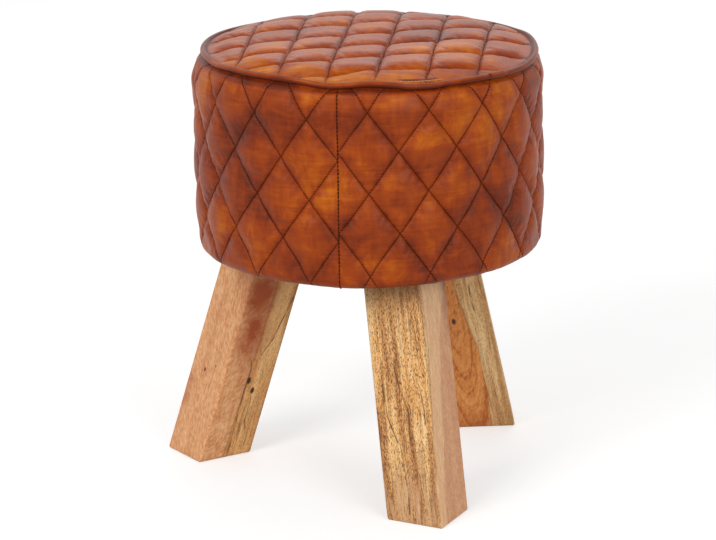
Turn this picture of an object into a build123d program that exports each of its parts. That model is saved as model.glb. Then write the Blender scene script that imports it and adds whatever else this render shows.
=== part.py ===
from build123d import *
from math import ceil, cos, floor, hypot, radians, sin, sqrt, tan
import os

# A round leather stool. A quilted drum seat stands on three splayed square legs.
# Millimetres, +Z up. The origin is on the floor, straight under the middle of the seat.
# Angles are in degrees, counted from +X towards +Y. The front of the stool faces -Y.

# Overall sizes
seat_radius = 175.0  # to the crests of the side quilting
seat_height = 446.0  # floor to the highest crest of the top
base_height = 238.0  # floor to the underside of the base board

# Clearances
soft_gap = 0.3  # round foam and leather
close_gap = 0.1  # between close-fitting round pieces, and round screws in their holes
overrun = 10.0  # how far a cutting shape runs past what it cuts

# Leather and quilting
leather_thickness = 1.5
puff_height = 4.5  # how far a crest stands out from the stitch crossings
crest_slack = 0.5  # the trimming shape stays this far outside the crests
top_panel_thickness = 12.0
side_panel_thickness = 9.5
quilt_columns = 18  # diamonds round the side band
quilt_row_pitch = 40.2  # height from one row of crossings to the next
quilt_row_height_left = 401.0  # highest full row of crossings, left half band
quilt_row_height_right = 409.0  # the same on the right half band, sewn a little higher
seam_angle = 259.5  # the front upright seam; the other is opposite
top_quilt_pitch = 50.2  # between crossings, along both sets of top stitch lines
top_line_angles = (13.8, 83.8)  # the two sets of top stitch lines
top_knot_left = 23.6  # one crossing of the top lines, this far left of the middle
top_knot_back = 12.5  # and this far behind it
crown_drop = 5.0  # how much lower the crossings lie at the rim than in the middle
crown_edge_width = 52.0  # the top rounds down to its rim over this width
rim_thickness = 2.0  # of the top panel, beside the welt

# Shape of the seat's edges
taper_height = 62.0  # the band draws in below this height above the base board
shoulder_height = 42.0  # the band starts to round over this far below the welt
hem_edge_radius = 15.0  # the rounded bottom edge
hem_width = 7.5  # flat part of the leather hem under the base board
shoulder_inset = 8.5  # from the crests in to the band's top edge

# Welt round the top edge
piping_radius = 3.75
piping_inset = 9.0  # from the crests in to the middle of the welt
piping_leather = 1.2
piping_tail_width = 6.0  # width of the two sewn-in layers behind the bead
rim_flange_width = 7.0  # width of the band's edge, turned in below those layers
lining_turn_height = 17.0  # the band's lining turns in this far below that edge

# Foam
side_foam_thickness = 5.0
top_foam_thickness = 36.0
top_foam_bevel = 10.0

# Drum frame
hoop_thickness = 3.0
hoop_lift = 1.0  # the hoop's lower edge stays this far above the base board's underside
base_board_thickness = 18.0
top_board_thickness = 15.0
post_count = 6
post_width = 40.0
post_depth = 20.0
post_inset = 4.0  # from the board's rim to the post's outer face
post_start_angle = 17.3
post_screw_radius = 2.5
post_screw_length = 50.0
post_screw_head_radius = 4.75
post_screw_head_height = 3.0

# Legs
leg_width = 60.0
leg_tilt = 16.9
leg_hem_gap = 3.1  # between the leg's outer edge and the hem, under the seat
leg_angles = {"leg_left": 167.3, "leg_front": 287.3, "leg_back": 47.3}
leg_edge_radius = 2.5

# Coach screws that hold the legs
leg_screw_pair_width = 28.0
leg_screw_radius = 4.0
leg_screw_grip_depth = 42.0  # depth in the leg
leg_screw_head_flats = 13.0
leg_screw_head_height = 5.3
washer_radius = 12.0
washer_thickness = 1.6

# Staples and the cloth under the seat
staple_crown_width = 10.0
staple_wire_thickness = 0.6
staple_leg_length = 8.0
hem_staple_count = 36
hem_staple_inset = 2.8  # from the hem's inner edge
dust_cover_thickness = 0.5
dust_cover_lap = 8.5  # how far the cloth laps over the hem
dust_cover_staple_count = 18
dust_cover_staple_inset = 2.8  # from the cloth's edge
dust_cover_leg_gap = 2.0

# Heights worked out from the sizes above
top_lining_height = seat_height - top_panel_thickness
piping_height = top_lining_height - soft_gap - piping_leather
rim_height = piping_height - piping_leather - soft_gap
top_board_height = top_lining_height - top_foam_thickness
hem_height = base_height - leather_thickness
cloth_height = hem_height - staple_wire_thickness
taper_start = base_height + taper_height
shoulder_start = rim_height - shoulder_height
lining_top = rim_height - lining_turn_height

# Radii worked out from the outside inwards
piping_circle = seat_radius - piping_inset
top_rim_radius = piping_circle - piping_radius - soft_gap
lining_radius = seat_radius - side_panel_thickness
side_foam_inner = lining_radius - soft_gap - side_foam_thickness
hoop_outer = side_foam_inner - soft_gap
hoop_inner = hoop_outer - hoop_thickness
board_radius = hoop_inner - close_gap
hem_edge_centre = hoop_inner
hem_edge_outer = hem_edge_centre + hem_edge_radius
hem_inner = hem_edge_centre - hem_width
post_ring = board_radius - post_inset - post_depth / 2
leg_corner_reach = leg_width / sqrt(2) / cos(radians(leg_tilt))
leg_ring = hem_inner - leg_hem_gap - leg_corner_reach
foot_circle = leg_ring + base_height * tan(radians(leg_tilt))
cloth_radius = hem_inner + dust_cover_lap
hem_staple_ring = hem_inner + hem_staple_inset
cloth_staple_ring = cloth_radius - dust_cover_staple_inset

os.makedirs("parts", exist_ok=True)


def finish(piece, name):
    """Name a finished piece and write its file."""
    piece.part.label = name
    export_step(piece.part, f"parts/{name}.step")


def polar(radius, angle, height=0.0):
    return Vector(radius * cos(radians(angle)), radius * sin(radians(angle)), height)


def middle(*points):
    return sum(points, Vector()) * (1 / len(points))


# The quilting


def pillow(corners, lift):
    """A puffed diamond: straight sewn edges, and a middle raised by the lift."""
    low, right, high, left = corners
    crest = middle(*corners) + lift * 4
    rows = [
        [low, middle(low, right), right],
        [middle(low, left), crest, middle(right, high)],
        [left, middle(left, high), high],
    ]
    return Face.make_bezier_surface(rows)


def ruled(a, b, c, d):
    return Face.make_bezier_surface([[a, b], [d, c]])


def quilted_block(cells, knot, root, lift):
    """A block whose outer face is quilted. Each cell is a diamond of four crossings.

    The knot gives the place of a crossing, the root its foot on the back of the block,
    and the lift how far a diamond's middle is raised.
    """
    faces = []
    rim = {}
    for column, row in cells:
        around = [(column, row - 1), (column + 1, row), (column, row + 1), (column - 1, row)]
        faces.append(pillow([knot(*place) for place in around], lift(column, row)))
        faces.append(ruled(*[root(*place) for place in reversed(around)]))
        for start, end in zip(around, around[1:] + around[:1]):
            if (end, start) in rim:
                del rim[(end, start)]
            else:
                rim[(start, end)] = True
    for start, end in rim:
        faces.append(ruled(knot(*start), knot(*end), root(*end), root(*start)))
    return Solid(Shell(faces))


# The side band


def crest_radius(height):
    """Radius of the crests at a height: full in the middle, drawn in at both edges."""
    bend_height = hem_height + hem_edge_radius
    low_share = min(1, max(0, (taper_start - height) / (taper_start - bend_height)))
    high_share = min(1, max(0, (height - shoulder_start) / (rim_height - shoulder_start)))
    taper = (seat_radius - hem_edge_outer) * low_share
    return seat_radius - taper - shoulder_inset * high_share**2


def side_block(start_angle, row_height):
    """A quilted block that is a little larger than the half band from the start angle on."""
    half_pitch = 180 / quilt_columns
    root_radius = hem_inner - overrun

    def row_level(row):
        return row_height + row * quilt_row_pitch

    def knot(column, row):
        level = row_level(row)
        return polar(crest_radius(level) - puff_height, start_angle + column * half_pitch, level)

    def root(column, row):
        return polar(root_radius, start_angle + column * half_pitch, row_level(row))

    def lift(column, row):
        around = [(column, row - 1), (column + 1, row), (column, row + 1), (column - 1, row)]
        flat = middle(*[knot(*place) for place in around])
        rise = crest_radius(row_level(row)) - sqrt(flat.X**2 + flat.Y**2)
        return polar(rise, start_angle + column * half_pitch)

    top_row = ceil((rim_height - row_height) / quilt_row_pitch)
    low_row = floor((hem_height - row_height) / quilt_row_pitch)
    cells = [
        (column, row)
        for row in range(low_row, top_row + 1)
        for column in range(-1, quilt_columns + 2)
        if (column + row) % 2 == 0
    ]
    return quilted_block(cells, knot, root, lift)


def make_side_panel(name, start_angle, row_height):
    seam_plane = Plane(
        origin=(0, 0, 0),
        x_dir=polar(1, start_angle),
        z_dir=polar(1, start_angle - 90),
    )
    bottom_centre = hem_height + hem_edge_radius
    inner_bend = hem_edge_radius - leather_thickness
    bend_run = lining_radius - hem_edge_centre
    bend_end = bottom_centre - sqrt(inner_bend**2 - bend_run**2)
    flange_inner = top_rim_radius - rim_flange_width
    flange_low = rim_height - leather_thickness
    welt_low = piping_height - piping_radius - soft_gap
    with BuildPart() as panel:
        add(side_block(start_angle, row_height))
        with BuildSketch(seam_plane):
            with BuildLine():
                hem_out = Line((hem_inner, hem_height), (hem_edge_centre, hem_height))
                bend_out = TangentArc(
                    hem_out @ 1,
                    (hem_edge_outer, bottom_centre),
                    tangent=(1, 0),
                )
                wall = Polyline(
                    bend_out @ 1,
                    (seat_radius + crest_slack, taper_start),
                    (seat_radius + crest_slack, shoulder_start),
                )
                shoulder = TangentArc(wall @ 1, (piping_circle, welt_low), tangent=(0, 1))
                rim = Polyline(
                    shoulder @ 1,
                    (top_rim_radius + rim_height - welt_low, welt_low),
                    (top_rim_radius, rim_height),
                    (flange_inner, rim_height),
                    (flange_inner, flange_low),
                    (side_foam_inner, flange_low),
                    (lining_radius, lining_top),
                    (lining_radius, bend_end),
                )
                bend_in = RadiusArc(rim @ 1, (hem_edge_centre, base_height), inner_bend)
                Polyline(bend_in @ 1, (hem_inner, base_height), hem_out @ 0)
            make_face()
        revolve(axis=Axis.Z, revolution_arc=180, mode=Mode.INTERSECT)
        add(hem_staples.part, mode=Mode.SUBTRACT)
        add(dust_cover_staples.part, mode=Mode.SUBTRACT)
    finish(panel, name)


# Staples


def staple_ring(radius, count, crown_height, start_angle):
    """Staples driven up in a ring, each with its crown along the edge."""
    with BuildPart() as ring:
        with BuildSketch(Plane.XZ):
            with Locations((0, crown_height + (staple_wire_thickness + staple_leg_length) / 2)):
                Rectangle(staple_crown_width, staple_wire_thickness + staple_leg_length)
            with Locations((0, crown_height + staple_wire_thickness + staple_leg_length / 2)):
                Rectangle(
                    staple_crown_width - 2 * staple_wire_thickness,
                    staple_leg_length,
                    mode=Mode.SUBTRACT,
                )
        extrude(amount=staple_wire_thickness / 2, both=True)
    staple = ring.part
    places = [start_angle + turn * 360 / count for turn in range(count)]
    with BuildPart() as all_staples:
        for angle in places:
            add(staple.moved(Pos(polar(radius, angle)) * Rot(0, 0, angle + 90)))
    return all_staples


half_gap_angle = 180 / hem_staple_count
hem_staples = staple_ring(
    hem_staple_ring,
    hem_staple_count,
    hem_height - staple_wire_thickness,
    seam_angle + half_gap_angle,
)
finish(hem_staples, "hem_staples")

dust_cover_staples = staple_ring(
    cloth_staple_ring,
    dust_cover_staple_count,
    cloth_height - dust_cover_thickness - staple_wire_thickness,
    seam_angle,
)
finish(dust_cover_staples, "dust_cover_staples")

make_side_panel("side_panel_right", seam_angle - 360, quilt_row_height_right)
make_side_panel("side_panel_left", seam_angle - 180, quilt_row_height_left)


# The quilted top


def top_block():
    """A quilted block that is a little larger than the top panel."""
    step_a, step_b = [polar(top_quilt_pitch, angle) for angle in top_line_angles]
    start = Vector(-top_knot_left, top_knot_back)

    def spot(column, row):
        return start + (step_a - step_b) * (column / 2) + (step_a + step_b) * (row / 2)

    def knot(column, row):
        place = spot(column, row)
        fall = crown_drop * (hypot(place.X, place.Y) / top_rim_radius) ** 4
        return place + Vector(0, 0, seat_height - puff_height - fall)

    def root(column, row):
        return spot(column, row) + Vector(0, 0, top_lining_height - overrun)

    def lift(column, row):
        return Vector(0, 0, puff_height)

    reach = ceil(2 * (top_rim_radius + top_quilt_pitch) / top_quilt_pitch)
    span = range(-reach, reach + 1)
    cells = [
        (column, row)
        for row in span
        for column in span
        if (column + row) % 2
        and hypot(spot(column, row).X, spot(column, row).Y) < top_rim_radius + top_quilt_pitch
    ]
    return quilted_block(cells, knot, root, lift)


with BuildPart() as top_panel:
    add(top_block())
    with BuildSketch(Plane.XZ):
        with BuildLine():
            crest_line = Line(
                (0, seat_height + crest_slack),
                (top_rim_radius - crown_edge_width, seat_height + crest_slack),
            )
            edge_line = TangentArc(
                crest_line @ 1,
                (top_rim_radius, top_lining_height + rim_thickness),
                tangent=(1, 0),
            )
            Polyline(
                edge_line @ 1,
                (top_rim_radius, top_lining_height),
                (0, top_lining_height),
                crest_line @ 0,
            )
        make_face()
    revolve(axis=Axis.Z, mode=Mode.INTERSECT)
finish(top_panel, "top_panel")

# The welt round the top edge

bead_bore = piping_radius - piping_leather

with BuildPart() as piping_cover:
    with BuildSketch(Plane.XZ):
        with Locations((piping_circle, piping_height)):
            Circle(piping_radius)
        with Locations((top_rim_radius - piping_tail_width, piping_height)):
            Rectangle(
                piping_circle - top_rim_radius + piping_tail_width,
                2 * piping_leather,
                align=(Align.MIN, Align.CENTER),
            )
        with Locations((piping_circle, piping_height)):
            Circle(bead_bore, mode=Mode.SUBTRACT)
    revolve(axis=Axis.Z)
finish(piping_cover, "piping_cover")

with BuildPart() as piping_cord:
    with BuildSketch(Plane.XZ):
        with Locations((piping_circle, piping_height)):
            Circle(bead_bore - close_gap)
    revolve(axis=Axis.Z)
finish(piping_cord, "piping_cord")

# Foam

with BuildPart() as top_foam:
    with BuildSketch(Plane.XY.offset(top_board_height)):
        Circle(hoop_outer)
    extrude(amount=top_foam_thickness)
    chamfer(top_foam.faces().sort_by(Axis.Z)[-1].edges(), top_foam_bevel)
finish(top_foam, "top_foam")

foam_bend = hem_edge_radius - leather_thickness - soft_gap
foam_bend_run = lining_radius - soft_gap - hem_edge_centre
side_foam_low = hem_height + hem_edge_radius - sqrt(foam_bend**2 - foam_bend_run**2)

with BuildPart() as side_foam:
    with BuildSketch(Plane.XY.offset(side_foam_low)):
        Circle(lining_radius - soft_gap)
        Circle(side_foam_inner, mode=Mode.SUBTRACT)
    extrude(amount=lining_top - soft_gap - side_foam_low)
finish(side_foam, "side_foam")

# Screws of the drum frame


def post_screw_set(gap):
    """Countersunk screws up through the base board and down through the top board."""
    upright = (Align.CENTER, Align.CENTER, Align.MIN)
    driven_up = Plane.XY.offset(base_height)
    driven_down = Plane(origin=(0, 0, top_board_height), x_dir=(1, 0, 0), z_dir=(0, 0, -1))
    with BuildPart() as screws:
        for plane, start in ((driven_up, post_start_angle), (driven_down, -post_start_angle)):
            with Locations(plane):
                with PolarLocations(post_ring, post_count, start_angle=start):
                    Cone(
                        post_screw_head_radius + gap,
                        post_screw_radius + gap,
                        post_screw_head_height,
                        align=upright,
                    )
                    Cylinder(post_screw_radius + gap, post_screw_length + gap, align=upright)
    return screws


post_screws = post_screw_set(0)
post_screw_holes = post_screw_set(close_gap)
finish(post_screws, "post_screws")

# Coach screws of the legs

leg_screw_spots = [
    polar(leg_ring, angle) + polar(side * leg_screw_pair_width / 2, angle + 90)
    for angle in leg_angles.values()
    for side in (-1, 1)
]
floor_of_drum = base_height + base_board_thickness
leg_screw_tip = base_height - leg_screw_grip_depth
leg_screw_seat = floor_of_drum + washer_thickness


def leg_screw_shanks(gap):
    with BuildPart() as shanks:
        with BuildSketch(Plane.XY.offset(leg_screw_tip - gap)):
            with Locations(*leg_screw_spots):
                Circle(leg_screw_radius + gap)
        extrude(amount=leg_screw_seat - leg_screw_tip + gap)
    return shanks


leg_screw_holes = leg_screw_shanks(close_gap)

with BuildPart() as leg_screws:
    add(leg_screw_shanks(0).part)
    with BuildSketch(Plane.XY.offset(leg_screw_seat)):
        with Locations(*leg_screw_spots):
            RegularPolygon(leg_screw_head_flats / 2, side_count=6, major_radius=False)
    extrude(amount=leg_screw_head_height)
finish(leg_screws, "leg_screws")

with BuildPart() as leg_washers:
    with BuildSketch(Plane.XY.offset(floor_of_drum)):
        with Locations(*leg_screw_spots):
            Circle(washer_radius)
            Circle(leg_screw_radius + close_gap, mode=Mode.SUBTRACT)
    extrude(amount=washer_thickness)
finish(leg_washers, "leg_washers")

# The drum frame

with BuildPart() as base_board:
    with BuildSketch(Plane.XY.offset(base_height)):
        Circle(board_radius)
    extrude(amount=base_board_thickness)
    for holes in (post_screw_holes, leg_screw_holes, hem_staples, dust_cover_staples):
        add(holes.part, mode=Mode.SUBTRACT)
finish(base_board, "base_board")

with BuildPart() as top_board:
    with BuildSketch(Plane.XY.offset(top_board_height - top_board_thickness)):
        Circle(board_radius)
    extrude(amount=top_board_thickness)
    add(post_screw_holes.part, mode=Mode.SUBTRACT)
finish(top_board, "top_board")

with BuildPart() as drum_posts:
    with BuildSketch(Plane.XY.offset(floor_of_drum)):
        with PolarLocations(post_ring, post_count, start_angle=post_start_angle):
            Rectangle(post_depth, post_width)
    extrude(amount=top_board_height - top_board_thickness - floor_of_drum)
    add(post_screw_holes.part, mode=Mode.SUBTRACT)
finish(drum_posts, "drum_posts")

with BuildPart() as drum_hoop:
    with BuildSketch(Plane.XY.offset(base_height + hoop_lift)):
        Circle(hoop_outer)
        Circle(hoop_inner, mode=Mode.SUBTRACT)
    extrude(amount=top_board_height - base_height - hoop_lift)
finish(drum_hoop, "drum_hoop")

# The legs


def leg_stick(angle, side):
    """A square stick along a leg, one edge facing outwards, past the floor and the board."""
    lean = radians(leg_tilt)
    foot = Plane(
        origin=polar(foot_circle, angle),
        x_dir=polar(cos(lean), angle, sin(lean)),
        z_dir=polar(-sin(lean), angle, cos(lean)),
    )
    with BuildPart() as stick:
        with BuildSketch(foot.offset(-side)):
            Rectangle(side, side, rotation=45)
        extrude(amount=base_height / cos(lean) + 2 * side)
    return stick


for leg_name, leg_angle in leg_angles.items():
    with BuildPart() as leg:
        add(leg_stick(leg_angle, leg_width).part)
        split(bisect_by=Plane.XY, keep=Keep.TOP)
        split(bisect_by=Plane.XY.offset(base_height), keep=Keep.BOTTOM)
        top_edges = leg.faces().sort_by(Axis.Z)[-1].edges()
        fillet([edge for edge in leg.edges() if edge not in top_edges], leg_edge_radius)
        add(leg_screw_holes.part, mode=Mode.SUBTRACT)
    finish(leg, leg_name)

# The cloth under the seat

with BuildPart() as dust_cover:
    with BuildSketch(Plane.XY.offset(cloth_height - dust_cover_thickness)):
        Circle(cloth_radius)
    extrude(amount=dust_cover_thickness)
    for leg_angle in leg_angles.values():
        add(leg_stick(leg_angle, leg_width + 2 * dust_cover_leg_gap).part, mode=Mode.SUBTRACT)
    add(dust_cover_staples.part, mode=Mode.SUBTRACT)
finish(dust_cover, "dust_cover")
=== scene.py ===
from itertools import product
from math import cos, pi, radians, sin, sqrt, tan, tau

import bpy
import numpy as np
from mathutils import Matrix, Vector
from mathutils.geometry import delaunay_2d_cdt


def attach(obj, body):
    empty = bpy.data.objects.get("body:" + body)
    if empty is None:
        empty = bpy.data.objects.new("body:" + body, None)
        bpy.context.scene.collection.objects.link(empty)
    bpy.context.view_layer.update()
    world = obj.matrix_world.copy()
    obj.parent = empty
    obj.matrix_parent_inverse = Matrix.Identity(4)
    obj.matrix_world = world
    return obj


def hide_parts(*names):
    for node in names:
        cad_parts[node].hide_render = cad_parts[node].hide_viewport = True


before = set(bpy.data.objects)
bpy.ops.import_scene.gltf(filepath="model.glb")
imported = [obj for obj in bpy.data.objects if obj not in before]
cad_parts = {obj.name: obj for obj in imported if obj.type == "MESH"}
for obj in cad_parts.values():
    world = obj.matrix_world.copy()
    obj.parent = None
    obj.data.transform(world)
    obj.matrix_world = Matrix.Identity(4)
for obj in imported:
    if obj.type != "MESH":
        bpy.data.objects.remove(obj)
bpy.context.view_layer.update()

# A quilted leather stool on three splayed wooden legs.
# Sizes are in millimetres and angles in degrees from +X towards +Y. The front faces -Y.
# Meshes are made in millimetres and turned into metres by make_piece.

# The seat, as in the part's source
seat_radius = 175.0
seat_height = 446.0
base_height = 238.0
side_puff = 3.6  # how far a crest of the band stands out from its stitch lines
top_puff = 6.2  # the same on the top
leather_thickness = 1.5
top_lining_height = 434.0
top_rim_radius = 161.95
rim_height = 431.0
welt_low = 428.45
hem_height = 236.5
hem_inner = 149.4
hem_edge_centre = 156.9
hem_edge_radius = 15.0
taper_start = 300.0
shoulder_start = 389.0
shoulder_inset = 8.5
lining_radius = 165.5
lining_top = 414.0
side_foam_inner = 160.2
flange_inner = 154.95

# The band's upright section, as a row of points
outline_step = 0.25
outline_rounding = 18  # steps on each side
outline_ends = 6  # within which the rounding fades out
hem_edge_points, shoulder_points = 25, 30

# The soft hem
hem_droop = 1.6  # how far it sags
front_hem_droop = 1.8  # and how much more in front
hem_fullness = 2.0  # how far the band stands out above it
hem_roll = 2.4  # and how much more where it rolls under
hem_gather, broad_hem_gather = 0.35, 1.0

# The soft rim
rim_droop = 3.8  # how far it hangs down at the back
droop_reach, droop_depth, droop_height = (157, 164), (10, 165), (388, 428)
rim_inset = 3.5  # how far it is drawn in at the left
inset_way, inset_width, inset_height = 192, 24, (424, 431)
give_reach, give_height = (95, 158), (398, 428)  # from where the seat starts to give
# Where its sewing pulls it up or down: direction, width in degrees, rise
rim_pulls = [(230, 30, 4.5), (240, 10, 0.9), (271, 9, 3.0), (257, 6, -1.2), (337, 26, -4.3)]

# Quilting
quilt_columns = 18
column_angle = 10.0
row_pitch = 40.2
side_line_spacing = 48.65
seam_angle = 259.5
bands = {
    "side_panel_right": {"start": seam_angle - 360, "row_height": 409.0, "seed": 11},
    "side_panel_left": {"start": seam_angle - 180, "row_height": 401.0, "seed": 12},
}
mesh_steps = 24  # mesh steps from one row or column of crossings to the next
line_waver = 1.1  # how far a stitch line strays from its rule
waver_levels = (240, 262, 410, 427)  # the levels between which it may, as within takes them
waver_from_seam = 18
waver_size = 55.0
band_grid = ((-3, -1), (9, 11))  # quilting coordinates that take in a whole half band
blown_levels, free_levels = (238, 432), (243, 426)
top_quilt_pitch = 50.2
top_line_angles = (13.8, 83.8)
top_knot = (-23.6, 12.5)
top_line_spacing = 47.17
top_side_lines = 5  # stitch lines on each side of the knot, both ways
top_line_step = 0.03  # in quilting coordinates
top_line_margin = 3
top_steps = 32
top_blown_radius, top_free_radius = 168, 163
top_fall = 12.0  # how far the top's crown falls to its rim
top_fall_power = 5.5
top_back_fall = 0.5  # how far its back half lies lower
top_flat_radius = 151.0  # from where the padding thins out towards the rim
top_front_slack = 19.0  # how much sooner that is in front
top_thinning = 0.8  # the share of the padding that the rim has lost
top_puff_by_rule = 0.68  # the rest of the rise comes from the simulation
top_line_waver = 1.2
top_waver_fades = (130, 150)
top_waver_size = 50.0
top_stretch = 0.005  # how far its rim is drawn outwards over the welt, as a share
rim_points = 720
rim_step = 0.9  # from the rim to the next ring of points
top_thickness = 8.2  # of the leather, wadding and lining, where the padding is full
least_top_thickness = 0.4

# The welt
welt_circle = 166.3
welt_height = 432.7
welt_radius = 2.95
welt_segments = 900
seam_gap = (279.0, 283.0, 292.0, 296.0)  # directions between which the top stands off the welt
welt_leather = 1.2
cord_radius = 2.1
welt_tail_inner = 155.95
welt_tail_height = 431.7

# The legs
leg_width = 60.0
leg_tilt = 16.9
foot_circle = 174.27
leg_angles = {"leg_left": 167.3, "leg_front": 287.3, "leg_back": 47.3}
leg_edge_radius = 2.5
leg_levels = 150
leg_unevenness = 0.4
leg_uneven_heights = (0, 8, 222, 230)  # as within takes them: the sole and the top stay true
crack_depth = 0.5
crack_width = 0.9
crack_face, patch_face = 4, 6  # how far below its face a crack or a stain still counts
no_crack = 40.0  # the gap where no crack is near
leg_side_points, leg_corner_points = 50, 7

# The cloth under the seat
cloth_top = 235.9
cloth_thickness = 0.5
cloth_radius = 157.9
cloth_leg_gap = 2.0
cloth_sag = 0.8
cloth_step = 6.0
cloth_grid = 156
cloth_points = 180  # round its edge
hole_side_points = 12
leg_ring = 101.96


# Uneven heights


class UnevenField:
    """Smooth uneven values from -1 to 1, the same in each run."""

    cells = 32  # after which it repeats

    def __init__(self, seed):
        self.table = np.random.RandomState(seed).rand(*[self.cells] * 3) * 2 - 1

    def __call__(self, points, size):
        cell, part = np.divmod(np.asarray(points, float) / size, 1.0)
        part = part * part * (3 - 2 * part)
        cell = cell.astype(int)
        total = np.zeros(len(points))
        for corner in product((0, 1), repeat=3):
            share = np.prod(np.where(corner, part, 1 - part), axis=1)
            spot = (cell + corner) % self.cells
            total += share * self.table[spot[:, 0], spot[:, 1], spot[:, 2]]
        return total


wander = UnevenField(3)
swell = UnevenField(4)
pucker = UnevenField(5)
diamond_fill = np.random.RandomState(6).rand(97) * 2 - 1  # how full each diamond is stuffed


def ease(value, low, high):
    """0 below low, 1 above high, and smooth in between."""
    share = np.clip((value - low) / (high - low), 0, 1)
    return share * share * (3 - 2 * share)


def fade(value, low, high):
    """1 below low, 0 above high, and smooth in between."""
    return ease(-value, -high, -low)


def within(value, low, full, fading, gone):
    """0 outside low and gone, 1 from full to fading, and smooth in between."""
    return ease(value, low, full) * fade(value, fading, gone)


def bell(value, centre, width):
    """1 at the centre, falling off smoothly on both sides."""
    return np.exp(-(((value - centre) / width) ** 2))


def along_circle(radius, angle):
    """Plan positions on a circle round the seat's axis, for angles in radians."""
    return radius * np.cos(angle), radius * np.sin(angle)


def reach_of(points):
    """Distance of points from the seat's axis."""
    return np.hypot(points[:, 0], points[:, 1])


def way_of(points):
    """Direction of points from the seat's axis, 0 to 360 degrees."""
    return np.degrees(np.arctan2(points[:, 1], points[:, 0])) % 360


def turned_by(way, angle):
    """Degrees from one direction to another, -180 to 180."""
    return (way - angle + 180) % 360 - 180


def seam_opening(way):
    """1 where the seam of the top has opened, for directions in degrees."""
    return within(way, *seam_gap)


def pulled(points):
    """Points of the soft parts, moved with the rim where its sewing pulls it out of level."""
    reach, way = reach_of(points), way_of(points)
    outer = ease(reach, *give_reach)
    lift = np.zeros(len(points))
    for angle, wide, rise in rim_pulls:
        lift += rise * bell(turned_by(way, angle), 0, wide)
    inward = rim_inset * bell(way, inset_way, inset_width) * ease(points[:, 2], *inset_height)
    share = 1 - inward * outer / np.maximum(reach, 1)
    height = points[:, 2] + lift * outer * ease(points[:, 2], *give_height)
    return np.stack([points[:, 0] * share, points[:, 1] * share, height], axis=1)


def settled(points):
    """Points near the rim, which hangs down at the back and is pulled about by its sewing."""
    back = ease(points[:, 1], *droop_depth) * ease(points[:, 2], *droop_height)
    lowered = points.copy()
    lowered[:, 2] -= rim_droop * back * ease(reach_of(points), *droop_reach)
    return pulled(lowered)


# Meshes


def new_mesh(name, points, edges, faces):
    """A mesh from points in millimetres."""
    mesh = bpy.data.meshes.new(name)
    mesh.from_pydata([tuple(point) for point in np.asarray(points) * 0.001], edges, faces)
    return mesh


def new_object(name, data):
    """An object of its own in the scene, for a mesh, a lamp or a camera."""
    made = bpy.data.objects.new(name, data)
    bpy.context.scene.collection.objects.link(made)
    return made


def evaluated_mesh(piece):
    """The mesh that an object's modifiers make of it."""
    graph = bpy.context.evaluated_depsgraph_get()
    return bpy.data.meshes.new_from_object(piece.evaluated_get(graph))


def make_piece(name, points, faces, material, smooth=True, flat_from=None):
    """A closed piece from points in millimetres. Faces from flat_from on are shaded flat."""
    mesh = new_mesh(name, points, [], faces)
    mesh.materials.append(material)
    shade = np.full(len(mesh.polygons), smooth)
    if flat_from is not None:
        shade[flat_from:] = False
    mesh.polygons.foreach_set("use_smooth", shade)
    mesh.update()
    return new_object(name, mesh)


def mark_points(piece, name, values):
    """Keeps one value or vector for each point of a mesh, for its material."""
    values = np.asarray(values, np.float32)
    kind = "FLOAT" if values.ndim == 1 else "FLOAT_VECTOR"
    key = "value" if values.ndim == 1 else "vector"
    attribute = piece.data.attributes.new(name, kind, "POINT")
    attribute.data.foreach_set(key, values.ravel())


def turned_faces(rows, columns, closed_columns=False):
    """Quads between rows of points, each row with the same number of points."""
    faces = []
    last = columns if closed_columns else columns - 1
    for low in range(0, (rows - 1) * columns, columns):
        high = low + columns
        for column in range(last):
            side = (column + 1) % columns
            faces.append((low + column, low + side, high + side, high + column))
    return faces


def loop_edges(start, count):
    """Edges of a closed loop of points."""
    return [(start + step, start + (step + 1) % count) for step in range(count)]


def filled_outline(flat, edges):
    """Plan positions, and the triangles that join them inside an outline of edges."""
    made = delaunay_2d_cdt(flat, edges, [], 1, 1e-6)
    return np.array([tuple(spot) for spot in made[0]]), [tuple(face) for face in made[2]]


def turned_ring(name, outline, segments, material, shape=None):
    """A ring turned round the seat's axis from a closed outline of radius and height."""
    outline = np.asarray(outline, float)
    angles = np.linspace(0, tau, segments, endpoint=False)
    count = len(outline)
    radius = np.repeat(outline[None, :, 0], segments, axis=0)
    height = np.repeat(outline[None, :, 1], segments, axis=0)
    if shape is not None:
        radius, height = shape(angles, radius, height)
    across, deep = along_circle(radius, angles[:, None])
    points = np.stack([across, deep, height], axis=2).reshape(-1, 3)
    faces = []
    for turn in range(segments):
        here, onward = turn * count, (turn + 1) % segments * count
        for spot in range(count):
            side = (spot + 1) % count
            faces.append((here + spot, onward + spot, onward + side, here + side))
    return make_piece(name, points, faces, material)


# Node trees


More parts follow.
